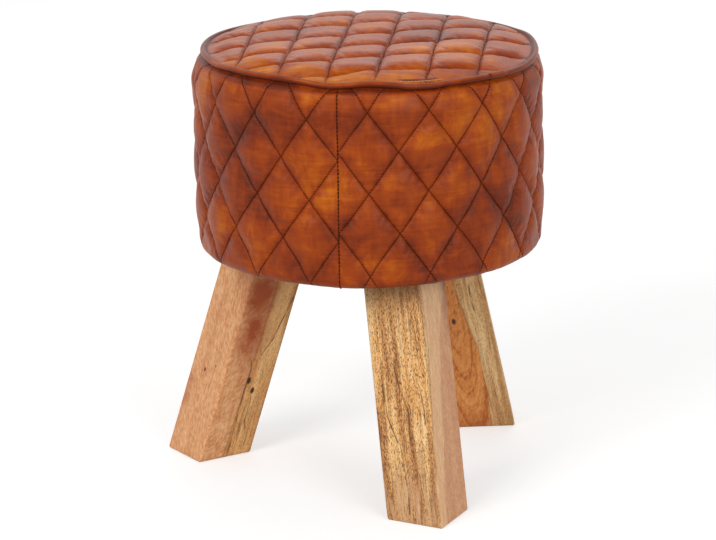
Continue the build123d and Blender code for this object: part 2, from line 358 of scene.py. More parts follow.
class Wiring:
    """Adds nodes to one tree and joins them up."""

    def __init__(self, tree):
        self.tree = tree

    def add(self, kind, inputs=(), **settings):
        """A new node with its settings, and what goes into its sockets."""
        node = self.tree.nodes.new(kind)
        for key, value in settings.items():
            setattr(node, key, value)
        for key, value in dict(inputs).items():
            self.feed(node.inputs[key], value)
        return node

    def made(self, kind, inputs=(), **settings):
        """What a new node puts out first."""
        return self.add(kind, inputs, **settings).outputs[0]

    def feed(self, socket, value):
        """Links another socket to this one, or sets its value."""
        if isinstance(value, bpy.types.NodeSocket):
            self.tree.links.new(value, socket)
        elif hasattr(socket, "default_value"):
            socket.default_value = value

    def math(self, operation, *values, clamp=False):
        node = self.add("ShaderNodeMath", dict(enumerate(values)), operation=operation)
        node.use_clamp = clamp
        return node.outputs[0]

    def vector_math(self, operation, *values):
        node = self.add("ShaderNodeVectorMath", dict(enumerate(values)), operation=operation)
        return node.outputs["Value" if operation == "LENGTH" else "Vector"]

    def place(self):
        """A spot's position on its piece, in metres."""
        return self.add("ShaderNodeTexCoord").outputs["Object"]

    def mark(self, name, output="Fac"):
        """What mark_points has kept for each point of a mesh."""
        return self.add("ShaderNodeAttribute", attribute_name=name).outputs[output]

    def parts(self, vector):
        return self.add("ShaderNodeSeparateXYZ", {0: vector}).outputs

    def joined(self, x, y, z):
        return self.made("ShaderNodeCombineXYZ", {0: x, 1: y, 2: z})

    def scaled(self, vector, scale):
        return self.made("ShaderNodeMapping", {"Vector": vector, "Scale": scale})

    def noise(self, vector, scale, detail=2.0, roughness=0.5, distortion=0.0):
        values = {
            "Vector": vector,
            "Scale": scale,
            "Detail": detail,
            "Roughness": roughness,
            "Distortion": distortion,
        }
        return self.made("ShaderNodeTexNoise", values)

    def between(self, value, low, high, start=0.0, end=1.0, smooth=True):
        """A value from low to high, turned into one from start to end."""
        values = {0: value, 1: low, 2: high, 3: start, 4: end}
        kind = "SMOOTHSTEP" if smooth else "LINEAR"
        return self.made("ShaderNodeMapRange", values, interpolation_type=kind)

    def blend(self, share, first, second):
        """One colour turning into another. The numbers are the node's colour sockets."""
        values = {0: share, 6: first, 7: second}
        return self.add("ShaderNodeMix", values, data_type="RGBA").outputs[2]

    def shades(self, value, stops):
        """A colour from a row of places and colours."""
        node = self.add("ShaderNodeValToRGB", {0: value})
        ramp = node.color_ramp
        while len(ramp.elements) < len(stops):
            ramp.elements.new(1.0)
        for element, (place, shade) in zip(ramp.elements, stops):
            element.position = place
            element.color = shade
        return node.outputs[0]

    def bump(self, height, strength, distance, normal=None):
        values = {"Height": height, "Strength": strength, "Distance": distance}
        if normal is not None:
            values["Normal"] = normal
        return self.made("ShaderNodeBump", values)

    def dress(self, node, **inputs):
        """Feeds a node's inputs, named with _ for a space."""
        for key, value in inputs.items():
            self.feed(node.inputs[key.replace("_", " ")], value)

    def use(self, group, **inputs):
        """Places a shared group. Returns its outputs."""
        node = self.add("ShaderNodeGroup", node_tree=group)
        self.dress(node, **inputs)
        return node.outputs


def colour(red, green, blue):
    """A colour as a screen shows it, 0 to 255, turned into the values that nodes take."""
    values = [channel / 255 for channel in (red, green, blue)]
    return (*[v / 12.92 if v <= 0.04045 else ((v + 0.055) / 1.055) ** 2.4 for v in values], 1.0)


def shade_row(*stops):
    """A row of shades, each given as its place and its colour on a screen."""
    return [(place, colour(*shade)) for place, *shade in stops]


def shared_group(name, inputs, outputs):
    """An empty shader group with named sockets. Returns its wiring, inputs and output node."""
    tree = bpy.data.node_groups.new(name, "ShaderNodeTree")
    for socket, kind, value in inputs:
        made = tree.interface.new_socket(socket, in_out="INPUT", socket_type=kind)
        if value is not None:
            made.default_value = value
    for socket, kind in outputs:
        tree.interface.new_socket(socket, in_out="OUTPUT", socket_type=kind)
    wiring = Wiring(tree)
    return wiring, wiring.add("NodeGroupInput").outputs, wiring.add("NodeGroupOutput").inputs


def new_finish(name):
    """A material with a Principled shader. Returns the material, its wiring and the shader."""
    finish = bpy.data.materials.new(name)
    finish.use_nodes = True
    wiring = Wiring(finish.node_tree)
    shader = finish.node_tree.nodes["Principled BSDF"]
    return finish, wiring, shader


FLOAT = "NodeSocketFloat"
VECTOR = "NodeSocketVector"


def line_gap(wiring, a, b):
    """From quilting coordinates: 0 on the nearest stitch line and 1 midway to the next."""
    edges = [wiring.math("MULTIPLY", wiring.math("PINGPONG", way, 0.5), 2.0) for way in (a, b)]
    return wiring.math("MINIMUM", *edges)


def on_line(wiring, gap, width):
    """1 on a stitch line, falling to 0 over its width."""
    return wiring.between(gap, 0.0, width, 1.0, 0.0)


def make_quilt_marks():
    """From the quilting coordinates: how far a spot is from its stitch lines."""
    wiring, given, made = shared_group(
        "quilt_marks",
        [("Quilt", VECTOR, None), ("Line Width", FLOAT, 0.05), ("Edge Width", FLOAT, 0.5)],
        [("Line", FLOAT), ("Middle", FLOAT), ("Diamond", FLOAT), ("Dimples", FLOAT)],
    )
    a, b, _ = wiring.parts(given["Quilt"])
    nearest = line_gap(wiring, a, b)
    wiring.feed(made["Line"], on_line(wiring, nearest, given["Line Width"]))
    wiring.feed(made["Middle"], wiring.between(nearest, 0.0, given["Edge Width"]))
    cell = wiring.joined(wiring.math("FLOOR", a), wiring.math("FLOOR", b), 0.0)
    pick = wiring.add("ShaderNodeTexWhiteNoise", {"Vector": cell}, noise_dimensions="3D")
    wiring.feed(made["Diamond"], pick.outputs["Value"])
    beside = on_line(wiring, nearest, 0.16)
    along = wiring.math("MULTIPLY", wiring.math("SUBTRACT", a, b), 100.0)
    wave = wiring.math("MULTIPLY", wiring.math("SINE", along), beside)
    wiring.feed(made["Dimples"], wave)
    return wiring.tree


def make_leather_grain():
    """Pores, fine creases and clouds of dye on burnished leather."""
    wiring, given, made = shared_group(
        "leather_grain",
        [
            ("Vector", VECTOR, None),
            ("Streak Scale", VECTOR, (60.0, 60.0, 60.0)),
            ("Flame Scale", VECTOR, (60.0, 60.0, 60.0)),
        ],
        [(n, FLOAT) for n in ("Clouds", "Blotches", "Streaks", "Flames", "Grain")],
    )
    place = given["Vector"]
    wiring.feed(made["Clouds"], wiring.noise(place, 13.0, 3.0, 0.55, 0.4))
    wiring.feed(made["Blotches"], wiring.noise(place, 42.0, 4.0, 0.6, 1.2))
    stretched = wiring.vector_math("MULTIPLY", place, given["Streak Scale"])
    wiring.feed(made["Streaks"], wiring.noise(stretched, 1.0, 4.0, 0.6, 0.4))
    drawn = wiring.vector_math("MULTIPLY", place, given["Flame Scale"])
    wiring.feed(made["Flames"], wiring.noise(drawn, 1.0, 2.0, 0.55, 1.0))
    pores = wiring.add("ShaderNodeTexVoronoi", {"Vector": place, "Scale": 900.0})
    creases = wiring.noise(place, 380.0, 3.0, 0.6)
    pore_height = wiring.between(pores.outputs["Distance"], 0.0, 0.6)
    grain = wiring.math("ADD", wiring.math("MULTIPLY", pore_height, 0.5), creases)
    wiring.feed(made["Grain"], grain)
    return wiring.tree


def make_timber_grain():
    """Growth rings, fibres and vessels of a stick, in the stick's own coordinates.

    The pith is a line beside the stick or in it. Where it leans against the stick, the
    rings cut a face in long nested arches.
    """
    wiring, given, made = shared_group(
        "timber_grain",
        [
            ("Stick", VECTOR, None),
            ("Shift", VECTOR, (0.0, 0.0, 0.0)),
            ("Pith", VECTOR, (0.0, 0.0, 0.0)),
            ("Pith Lean", VECTOR, (0.0, 0.0, 0.0)),
            ("Ring Scale", FLOAT, 420.0),
            ("Waver", FLOAT, 0.006),
            ("Knot", FLOAT, 0.0),
        ],
        [(n, FLOAT) for n in ("Rings", "Fibres", "Flecks", "Streaks", "Zones", "Mottle", "Slant")],
    )
    stick = given["Stick"]
    moved = wiring.vector_math("ADD", stick, given["Shift"])
    bend = wiring.add(
        "ShaderNodeTexNoise",
        {"Vector": wiring.scaled(moved, (24.0, 24.0, 11.0)), "Scale": 1.0, "Detail": 3.0},
    ).outputs["Color"]
    centred = wiring.vector_math("SUBTRACT", bend, (0.5, 0.5, 0.5))
    pull = wiring.joined(given["Waver"], given["Waver"], 0.0)
    sway = wiring.vector_math("MULTIPLY", centred, pull)
    bent = wiring.vector_math("ADD", moved, sway)
    spot = wiring.vector_math("ADD", stick, sway)
    height = wiring.parts(spot)["Z"]
    lean = wiring.vector_math("MULTIPLY", given["Pith Lean"], wiring.joined(height, height, 0.0))
    pith = wiring.vector_math("ADD", given["Pith"], lean)
    x, y, z = wiring.parts(wiring.vector_math("SUBTRACT", spot, pith))
    distance = wiring.vector_math("LENGTH", wiring.joined(x, y, 0.0))
    distance = wiring.math("MULTIPLY_ADD", given["Knot"], 0.009, distance)
    ring_place = wiring.joined(
        wiring.math("MULTIPLY", distance, given["Ring Scale"]),
        wiring.math("MULTIPLY", z, 2.0),
        wiring.math("MULTIPLY", y, 4.0),
    )
    wiring.feed(made["Rings"], wiring.noise(ring_place, 1.0, 3.0, 0.6))
    fibres = wiring.scaled(bent, (900.0, 900.0, 60.0))
    wiring.feed(made["Fibres"], wiring.noise(fibres, 1.0, 3.0, 0.6))
    zones = wiring.noise(wiring.scaled(bent, (95.0, 95.0, 7.0)), 1.0, 4.0, 0.55, 0.3)
    wiring.feed(made["Zones"], wiring.between(zones, 0.34, 0.66))
    flecks = wiring.noise(wiring.scaled(bent, (1350.0, 1350.0, 340.0)), 1.0, 2.0, 0.6, 0.6)
    flecks = wiring.math("MULTIPLY_ADD", zones, -0.35, flecks)
    wiring.feed(made["Flecks"], wiring.between(flecks, 0.31, 0.42))
    streaks = wiring.noise(wiring.scaled(bent, (330.0, 330.0, 16.0)), 1.0, 3.0, 0.65)
    wiring.feed(made["Streaks"], wiring.between(streaks, 0.53, 0.68))
    wiring.feed(made["Mottle"], wiring.noise(moved, 75.0, 4.0, 0.65, 0.5))
    slanted = wiring.made(
        "ShaderNodeVectorRotate", {"Vector": moved, "Axis": (0.7, 0.7, 0.0), "Angle": 0.6}
    )
    slanted = wiring.scaled(slanted, (420.0, 420.0, 44.0))
    wiring.feed(made["Slant"], wiring.noise(slanted, 1.0, 3.0, 0.6, 0.3))
    return wiring.tree


quilt_marks = make_quilt_marks()
leather_grain = make_leather_grain()
timber_grain = make_timber_grain()

leather_shades = shade_row(
    (0.0, 96, 32, 10),
    (0.22, 126, 45, 10),
    (0.45, 150, 60, 10),
    (0.66, 172, 82, 10),
    (0.85, 192, 106, 14),
    (1.0, 214, 136, 26),
)


leather_line_width = 0.034  # in quilting coordinates


def make_quilted_leather(name, streak_scale, flame_scale, lift, roughness):
    """Burnished brown leather: light in the middle of a diamond, dark along its seams."""
    finish, wiring, shader = new_finish(name)
    place = wiring.place()
    tone = wiring.mark("tone")
    quilt = wiring.mark("quilt", "Vector")
    marks = wiring.use(quilt_marks, Quilt=quilt, Line_Width=leather_line_width, Edge_Width=0.5)
    grain = wiring.use(
        leather_grain, Vector=place, Streak_Scale=streak_scale, Flame_Scale=flame_scale
    )
    light = wiring.math("MULTIPLY", marks["Middle"], 0.15)
    for value, share in (
        (grain["Clouds"], 1.02),
        (grain["Blotches"], 0.7),
        (grain["Streaks"], 0.44),
        (grain["Flames"], 0.4),
        (marks["Diamond"], 0.16),
        (tone, 1.0),
    ):
        light = wiring.math("MULTIPLY_ADD", value, share, light)
    light = wiring.math("ADD", light, lift, clamp=True)
    dyed = wiring.shades(light, leather_shades)
    # Painted shade: the leather is darkened along each stitch line, in its sunken groove.
    faint = wiring.between(grain["Blotches"], 0.35, 0.6, 0.84, 0.38)
    faint = wiring.math("MULTIPLY", faint, wiring.between(tone, 0.08, 0.3, 1.0, 0.55))
    shadow = wiring.math("MULTIPLY", marks["Line"], faint)
    # The specular level has nodes of its own, because no group's output may reach it.
    a, b, _ = wiring.parts(quilt)
    line = on_line(wiring, line_gap(wiring, a, b), leather_line_width)
    dull = wiring.math("MAXIMUM", line, wiring.mark("matt"))
    coarse = wiring.bump(grain["Blotches"], 0.25, 0.0012)
    stitched = wiring.bump(marks["Dimples"], 0.5, 0.0005, coarse)
    sunk = wiring.math("SUBTRACT", 1.0, marks["Line"])
    stitched = wiring.bump(sunk, 0.7, 0.0006, stitched)
    wiring.dress(
        shader,
        Base_Color=wiring.blend(shadow, dyed, colour(70, 27, 11)),
        Roughness=wiring.between(grain["Blotches"], 0.3, 0.7, *roughness),
        Specular_IOR_Level=wiring.between(dull, 0.0, 1.0, 0.22, 0.02, smooth=False),
        Specular_Tint=(1.0, 0.8, 0.66, 1.0),
        Normal=wiring.bump(grain["Grain"], 0.35, 0.0002, stitched),
    )
    return finish


def make_plain_leather(name, lift):
    """The same leather without quilting, for the welt."""
    finish, wiring, shader = new_finish(name)
    place = wiring.place()
    grain = wiring.use(leather_grain, Vector=place, Streak_Scale=(60.0, 60.0, 60.0))
    light = wiring.math("MULTIPLY_ADD", grain["Clouds"], 0.9, wiring.mark("tone"))
    light = wiring.math("MULTIPLY_ADD", grain["Blotches"], 0.7, light)
    light = wiring.math("ADD", light, lift, clamp=True)
    coarse = wiring.bump(grain["Blotches"], 0.3, 0.0008)
    wiring.dress(
        shader,
        Base_Color=wiring.shades(light, leather_shades),
        Roughness=wiring.between(grain["Blotches"], 0.3, 0.7, 0.3, 0.4),
        Specular_IOR_Level=0.2,
        Specular_Tint=(1.0, 0.74, 0.55, 1.0),
        Normal=wiring.bump(grain["Grain"], 0.3, 0.0002, coarse),
    )
    return finish


def make_plain_finish(name, dark, light, scale, roughness, metallic=0.0, bump=0.3, gloss=0.5):
    """A finish of two close colours, mixed by noise of the given scale in x, y and z."""
    finish, wiring, shader = new_finish(name)
    place = wiring.place()
    pattern = wiring.noise(wiring.scaled(place, scale), 1.0, 4.0, 0.6)
    wiring.dress(
        shader,
        Base_Color=wiring.blend(pattern, dark, light),
        Roughness=wiring.between(pattern, 0.2, 0.8, roughness - 0.06, roughness + 0.06),
        Metallic=metallic,
        Specular_IOR_Level=gloss,
        Normal=wiring.bump(pattern, bump, 0.0003),
    )
    return finish


def make_leg_wood(name, wood):
    """Oiled wood of two zones, flecked and smooth, with a dark line where they meet."""
    finish, wiring, shader = new_finish(name)
    stick = wiring.mark("stick", "Vector")
    knot = wiring.mark("knot")
    grain = wiring.use(
        timber_grain,
        Stick=stick,
        Shift=(wood["shift"], 0.0, wood["shift"]),
        Pith=wood["pith"],
        Pith_Lean=wood["lean"],
        Ring_Scale=wood["ring_scale"],
        Knot=knot,
    )
    ragged = wiring.noise(wiring.scaled(stick, (260.0, 260.0, 26.0)), 1.0, 3.0, 0.6)
    ragged = wiring.math("SUBTRACT", ragged, 0.5)
    zone = wiring.math("MULTIPLY_ADD", ragged, 5.0, wiring.mark("zone"))
    second = wiring.math("MULTIPLY_ADD", ragged, 7.0, wiring.mark("second_zone"))
    in_flecked = wiring.between(zone, -0.8, 0.8)
    light = wiring.math("MULTIPLY", grain["Zones"], 0.8)
    light = wiring.math("MULTIPLY_ADD", wiring.between(grain["Fibres"], 0.3, 0.7), 0.3, light)
    flecked = wiring.shades(light, wood["flecked"])
    ringed = wiring.between(grain["Rings"], 0.32, 0.68, 0.0, wood["rings"], smooth=False)
    patchy = wiring.between(grain["Mottle"], 0.2, 0.8, 0.0, wood["mottle"])
    even = wiring.math("ADD", ringed, patchy)
    slanted = wiring.between(grain["Slant"], 0.3, 0.7)
    even = wiring.math("MULTIPLY_ADD", slanted, wood["slant"], even)
    middle = (1 - wood["rings"] - wood["mottle"] - wood["slant"]) / 2
    even = wiring.math("ADD", even, middle, clamp=True)
    smooth = wiring.shades(even, wood["smooth"])
    fibrous = wiring.between(grain["Fibres"], 0.35, 0.65, 0.0, 0.5)
    cream = wiring.blend(fibrous, wood["cream"], wood["smooth"][0][1])
    plain = wiring.blend(wiring.between(second, -2.0, 2.0), smooth, cream)
    mixed = wiring.blend(in_flecked, plain, flecked)
    streaks = wiring.math("MULTIPLY", grain["Streaks"], wood["streaks"])
    streaks = wiring.math("MULTIPLY", streaks, wiring.between(in_flecked, 0, 1, 0.2, 1.0))
    mixed = wiring.blend(streaks, mixed, wood["dark"])
    flecks = wiring.math("MULTIPLY", grain["Flecks"], wood["flecks"])
    flecks = wiring.math("MULTIPLY", flecks, wiring.between(in_flecked, 0, 1, 0.22, 1.0))
    mixed = wiring.blend(flecks, mixed, wood["dark"])
    patched = wiring.between(grain["Mottle"], 0.3, 0.6, 1.0, 0.7)
    patched = wiring.math("MULTIPLY", wiring.mark("dark_patch"), patched, clamp=True)
    mixed = wiring.blend(patched, mixed, wood["dark_patch"])
    gum = wiring.between(wiring.math("ABSOLUTE", zone), 0.2, wood["gum_width"], 1.0, 0.0)
    mixed = wiring.blend(wiring.math("MULTIPLY", gum, wood["gum"]), mixed, wood["gum_colour"])
    knots = wiring.between(knot, 0.45, 0.85)
    mixed = wiring.blend(knots, mixed, colour(62, 32, 20))
    cracked = wiring.math("MULTIPLY_ADD", ragged, 1.2, wiring.mark("crack"))
    cracks = wiring.between(cracked, 0.25, 1.15, 1.0, 0.0)
    broken = wiring.noise(wiring.scaled(stick, (30.0, 30.0, 42.0)), 1.0, 2.0, 0.6)
    cracks = wiring.math("MULTIPLY", cracks, wiring.between(broken, 0.38, 0.58, 0.1, 0.85))
    mixed = wiring.blend(cracks, mixed, colour(76, 44, 24))
    relief = wiring.math("SUBTRACT", grain["Fibres"], grain["Flecks"])
    wiring.dress(
        shader,
        Base_Color=mixed,
        Roughness=wiring.between(grain["Fibres"], 0.3, 0.7, 0.5, 0.62),
        Specular_IOR_Level=0.3,
        Normal=wiring.bump(relief, 0.3, 0.0003),
    )
    return finish


def even_noise(scale):
    """The same scale of noise in x, y and z."""
    return scale, scale, scale


side_leather = make_quilted_leather(
    "side_leather", (26.0, 26.0, 300.0), (90.0, 90.0, 24.0), lift=-1.07, roughness=(0.36, 0.5)
)
top_leather = make_quilted_leather(
    "top_leather", (30.0, 260.0, 30.0), (20.0, 90.0, 20.0), lift=-0.97, roughness=(0.25, 0.38)
)
welt_leather_finish = make_plain_leather("welt_leather", lift=-0.74)
thread_finish = make_plain_finish(
    "dark_thread", colour(50, 22, 12), colour(86, 44, 24), even_noise(900.0), 0.7, gloss=0.0
)
pale_thread_finish = make_plain_finish(
    "ochre_thread", colour(176, 116, 60), colour(222, 172, 108), even_noise(900.0), 0.6
)
# A stick's own axes are u and w across it and s along it, in millimetres, and its four faces
# lie at 30 and -30 on u and w. For each leg:
# zone and second: the shares of u and w in the distance from a zone's edge, the w that it is
#   measured from, then places along the stick and the distance to add there
# dark_patches: the face's axis and place, across, along, width, length, strength
# cracks: the face's axis and place, then points across and along
# knots: u, w, s, size
no_zone = (0.0, 0.0, 0, [(0, -20)])
leg_woods = {
    "leg_left": {
        "shift": 0.3,
        "rings": 0.3,
        "mottle": 0.3,
        "slant": 0.7,
        "pith": (0.07, -0.09, 0.0),
        "lean": (0.1, 0.05, 0.0),
        "ring_scale": 330.0,
        "flecked": shade_row((0.0, 204, 140, 82), (0.45, 234, 172, 106), (1.0, 250, 204, 140)),
        "smooth": shade_row((0.0, 200, 126, 76), (0.5, 225, 162, 110), (1.0, 240, 190, 142)),
        "cream": colour(222, 172, 120),
        "dark": colour(122, 78, 42),
        "streaks": 0.6,
        "flecks": 0.45,
        "dark_patch": colour(162, 74, 34),
        "gum": 0.35,
        "gum_width": 1.4,
        "gum_colour": colour(92, 52, 30),
        "zone": (-1.0, -0.35, -30, [(0, 2.7), (43, 1.9), (95, -0.3), (143, -1.6), (200, -2.4)]),
        "second": no_zone,
        "dark_patches": [
            ("w", -30, 9, 150, 17, 36, 1.2),
            ("w", -30, 12, 192, 19, 32, 1.5),
            ("w", -30, 12, 236, 24, 30, 1.2),
            ("u", 30, -26, 215, 22, 34, 0.6),
            ("u", 30, 26, 60, 9, 22, 0.6),
            ("u", 30, 8, 140, 6, 60, 0.25),
        ],
        "cracks": [
            ("w", -30, [(2, 118), (-1, 108), (0, 80), (-1, 40), (-2, 8)]),
            ("w", -30, [(-27, 190), (-23, 172), (-17, 143), (-8, 124)]),
            ("w", -30, [(-10, 78), (-13, 62), (-11, 50), (-15, 38)]),
        ],
        "knots": [(-2, -30, 95, 3.6), (-9.5, -30, 84, 3.4), (30, 5, 90, 2.2), (30, -12, 102, 1.6)],
    },
    "leg_front": {
        "shift": 1.7,
        "rings": 0.5,
        "mottle": 0.5,
        "slant": 0.6,
        "pith": (-0.05, -0.03, 0.0),
        "lean": (0.03, 0.0, 0.0),
        "ring_scale": 380.0,
        "flecked": shade_row(
            (0.0, 170, 114, 66),
            (0.3, 206, 147, 88),
            (0.6, 230, 170, 100),
            (1.0, 244, 202, 144),
        ),
        "smooth": shade_row((0.0, 200, 140, 100), (0.5, 214, 156, 114), (1.0, 224, 174, 130)),
        "cream": colour(240, 194, 146),
        "dark": colour(104, 60, 30),
        "streaks": 0.55,
        "flecks": 0.9,
        "dark_patch": colour(124, 82, 56),
        "gum": 0.35,
        "gum_width": 1.6,
        "gum_colour": colour(132, 84, 50),
        "zone": (0.0, 1.0, 0, [(22, -30), (73, -28.6), (123, -24.7), (173, -20.9), (224, -22.5)]),
        "second": (0.0, 1.0, 0, [(21, -18), (71, -8.7), (121, -3.0), (171, 4.5), (221, 23)]),
        # Both patches darken the leg towards its top, under the seat.
        "dark_patches": [("w", 30, 0, 236, 60, 34, 0.7), ("u", 30, -30, 226, 12, 40, 0.9)],
        "cracks": [
            ("w", 30, [(-20, 127), (-17.5, 99), (-11, 80), (-6, 66), (-3.3, 24), (-4, 4)]),
            ("w", 30, [(-8, 170), (-6, 155), (-1, 125), (5.8, 103), (4.4, 74)]),
            ("w", 30, [(21, 124), (23, 104), (23, 90)]),
        ],
        "knots": [],
    },
    "leg_back": {
        "shift": 3.1,
        "rings": 0.85,
        "mottle": 0.15,
        "slant": 0.6,
        "pith": (-0.004, -0.008, 0.0),
        "lean": (-0.15, 0.0, 0.0),
        "ring_scale": 420.0,
        "flecked": shade_row((0.0, 196, 144, 90), (0.45, 222, 174, 116), (1.0, 240, 202, 148)),
        "smooth": shade_row((0.0, 172, 92, 42), (0.4, 208, 128, 64), (1.0, 228, 158, 88)),
        "cream": colour(222, 172, 120),
        "dark": colour(118, 74, 38),
        "streaks": 0.5,
        "flecks": 0.45,
        "dark_patch": colour(150, 76, 38),
        "gum": 0.3,
        "gum_width": 1.6,
        "gum_colour": colour(120, 72, 40),
        "zone": (-0.3, 1.0, 0, [(11, -15.2), (49, -19), (103, -18.6), (146, -12.8), (181, -9)]),
        "second": no_zone,
        "dark_patches": [("u", -30, -14, 12, 24, 16, 0.5)],
        "cracks": [("u", -30, [(17, 190), (14, 160), (16, 140)])],
        "knots": [(-30, -8, 139, 3.0)],
    },
}
leg_finishes = {name: make_leg_wood(f"{name}_wood", wood) for name, wood in leg_woods.items()}

# The quilted side bands


def band_outline():
    """One upright section of the band: level along the leather, radius, height, direction."""
    turn = np.radians(np.linspace(-90, 0, hem_edge_points))
    bend_height = hem_height + hem_edge_radius
    bend_radius = hem_edge_centre + hem_edge_radius * np.cos(turn)
    bend_level = hem_height + hem_edge_radius * (1 + np.sin(turn))
    bend_rise = bend_height + hem_edge_radius * turn
    shoulder = np.linspace(shoulder_start, welt_low, shoulder_points)
    share = (shoulder - shoulder_start) / (rim_height - shoulder_start)
    shoulder_radius = seat_radius - shoulder_inset * share**2
    rim = [(164.4, 429.9), (top_rim_radius, rim_height), (flange_inner, rim_height)]
    radius = [hem_inner, *bend_radius, seat_radius, *shoulder_radius, *[spot[0] for spot in rim]]
    height = [hem_height, *bend_level, taper_start, *shoulder, *[spot[1] for spot in rim]]
    hem_rise = bend_rise[0] - (hem_edge_centre - hem_inner)
    rise = [hem_rise, *bend_rise, taper_start, *shoulder]
    for after in range(len(rise), len(radius)):
        before = after - 1
        run = sqrt((radius[after] - radius[before]) ** 2 + (height[after] - height[before]) ** 2)
        rise.append(rise[-1] + run)
    level = np.arange(rise[0], rise[-1] + outline_step, outline_step)
    level[-1] = rise[-1]
    radius = np.interp(level, rise, radius)
    height = np.interp(level, rise, height)
    # Corners are rounded by averaging over neighbours, but the two ends stay put.
    window = np.hanning(2 * outline_rounding + 1)
    window /= window.sum()
    keep = within(level, level[0], level[0] + outline_ends, level[-1] - outline_ends, level[-1])
    for table in (radius, height):
        padded = np.pad(table, outline_rounding, mode="edge")
        table += keep * (np.convolve(padded, window, mode="valid") - table)
    run_radius = np.gradient(radius)
    run_height = np.gradient(height)
    length = np.hypot(run_radius, run_height)
    return level, radius, height, run_height / length, -run_radius / length


outline_level, outline_radius, outline_height, outline_out, outline_up = band_outline()


def mark_quilting(piece, a, b):
    """Keeps quilting coordinates for a face, and the middle of a diamond for its lining."""
    quilt = np.full((len(piece.data.vertices), 3), 0.5)
    quilt[: len(a)] = np.stack([a, b, np.zeros(len(a))], axis=1)
    quilt[:, 2] = 0
    mark_points(piece, "quilt", quilt)


def edges_of(a, b):
    """Distance from the two nearest stitch lines, 0 on a line and 1 midway."""
    return 2 * np.abs(a - np.round(a)), 2 * np.abs(b - np.round(b))


def plain_rise(a, b, steep_a, steep_b, held_a):
    """How far the padding rises between its stitch lines, from 0 to 1, by rule.

    A steep side makes a narrow valley and a flat middle. The a lines hold the padding
    down by the share held_a, the b lines all the way.
    """
    edge_a, edge_b = edges_of(a, b)
    rise_a = 1 - held_a * (1 - edge_a) ** steep_a
    return rise_a * (1 - (1 - edge_b) ** steep_b)


class BlownLeather:
    """The rise of quilted leather between its stitch lines, from a cloth simulation.

    The leather is a grid in quilting coordinates. It is held along its stitch lines and
    edges, has a little more length than the gap between them, and swells outwards.
    """

    steps = 16  # grid steps from one stitch line to the next
    frames = 20
    quality = 5
    mass = 0.1
    pressure = 1200.0
    stretch_stiffness = 30
    crumple = 0.3  # how uneven the leather is at the start
    full_rise = 88  # the percentile of the rise that counts as 1
    rise_limits = (-0.05, 1.25)

    def __init__(self, name, low, high, place, is_inside, slack, stiffness):
        self.low = np.array(low)
        spans = [np.arange((h - l) * self.steps + 1) / self.steps + l for l, h in zip(low, high)]
        grid_a, grid_b = np.meshgrid(*spans, indexing="ij")
        a, b = grid_a.ravel(), grid_b.ravel()
        inside, free = is_inside(a, b)
        edge_a, edge_b = edges_of(a, b)
        held = (np.minimum(edge_a, edge_b) < 1e-6) | ~free
        index = np.full(len(a), -1)
        index[inside] = np.arange(inside.sum())
        points, outward = place(a[inside], b[inside])
        shape = grid_a.shape
        numbers = index.reshape(shape)
        faces = []
        for row in range(shape[0] - 1):
            for column in range(shape[1] - 1):
                one, two = numbers[row, column], numbers[row + 1, column]
                three, four = numbers[row + 1, column + 1], numbers[row, column + 1]
                for face in ((one, two, four), (two, three, four)):
                    if min(face) >= 0:
                        faces.append(tuple(int(spot) for spot in face))
        first = points[list(faces[0])]
        turned = np.cross(first[1] - first[0], first[2] - first[0]) @ outward[faces[0][0]]
        if turned < 0:
            faces = [face[::-1] for face in faces]
        rise = self.swell_out(name, points, outward, faces, held[inside], slack, stiffness)
        table = np.zeros(len(a))
        table[inside] = rise / np.percentile(rise[~held[inside]], self.full_rise)
        self.table = np.clip(table, *self.rise_limits).reshape(shape)

    def swell_out(self, name, points, outward, faces, held, slack, stiffness):
        """Blows the leather up. Returns how far each point has moved outwards."""
        start = points + outward * (self.crumple * pucker(points + 200, 9.0) * ~held)[:, None]
        leather = new_object(name, new_mesh(name, start, [], faces))
        group = leather.vertex_groups.new(name="held")
        group.add([int(spot) for spot in np.nonzero(held)[0]], 1.0, "REPLACE")
        cloth = leather.modifiers.new("leather", "CLOTH")
        settings = cloth.settings
        settings.quality = self.quality
        settings.mass = self.mass
        settings.tension_stiffness = self.stretch_stiffness
        settings.compression_stiffness = self.stretch_stiffness
        settings.shear_stiffness = self.stretch_stiffness
        settings.bending_stiffness = stiffness
        settings.vertex_group_mass = "held"
        settings.use_pressure = True
        settings.uniform_pressure_force = self.pressure
        settings.shrink_min = -slack
        settings.effector_weights.gravity = 0
        cloth.collision_settings.use_collision = False
        cloth.point_cache.frame_start = 1
        cloth.point_cache.frame_end = self.frames
        scene = bpy.context.scene
        for frame_number in range(1, self.frames + 1):
            scene.frame_set(frame_number)
        swollen = evaluated_mesh(leather)
        moved = np.empty(len(points) * 3, np.float32)
        swollen.vertices.foreach_get("co", moved)
        bpy.data.objects.remove(leather)
        bpy.data.meshes.remove(swollen)
        scene.frame_set(1)
        return ((moved.reshape(-1, 3) * 1000 - points) * outward).sum(axis=1)

    def __call__(self, a, b):
        """The rise at quilting coordinates, smooth between the grid's points."""
        spot_a = (a - self.low[0]) * self.steps
        spot_b = (b - self.low[1]) * self.steps
        base_a, base_b = np.floor(spot_a).astype(int), np.floor(spot_b).astype(int)
        shares_a = self.weights(spot_a - base_a)
        shares_b = self.weights(spot_b - base_b)
        total = np.zeros(len(a))
        for step_a, step_b in product(range(4), repeat=2):
            at_a = np.clip(base_a + step_a - 1, 0, self.table.shape[0] - 1)
            at_b = np.clip(base_b + step_b - 1, 0, self.table.shape[1] - 1)
            total += shares_a[step_a] * shares_b[step_b] * self.table[at_a, at_b]
        return total

    @staticmethod
    def weights(t):
        """The shares of four grid points in a row, for a smooth curve through them."""
        return (
            ((2 - t) * t - 1) * t / 2,
            ((3 * t - 5) * t * t + 2) / 2,
            ((4 - 3 * t) * t + 1) * t / 2,
            (t - 1) * t * t / 2,
        )


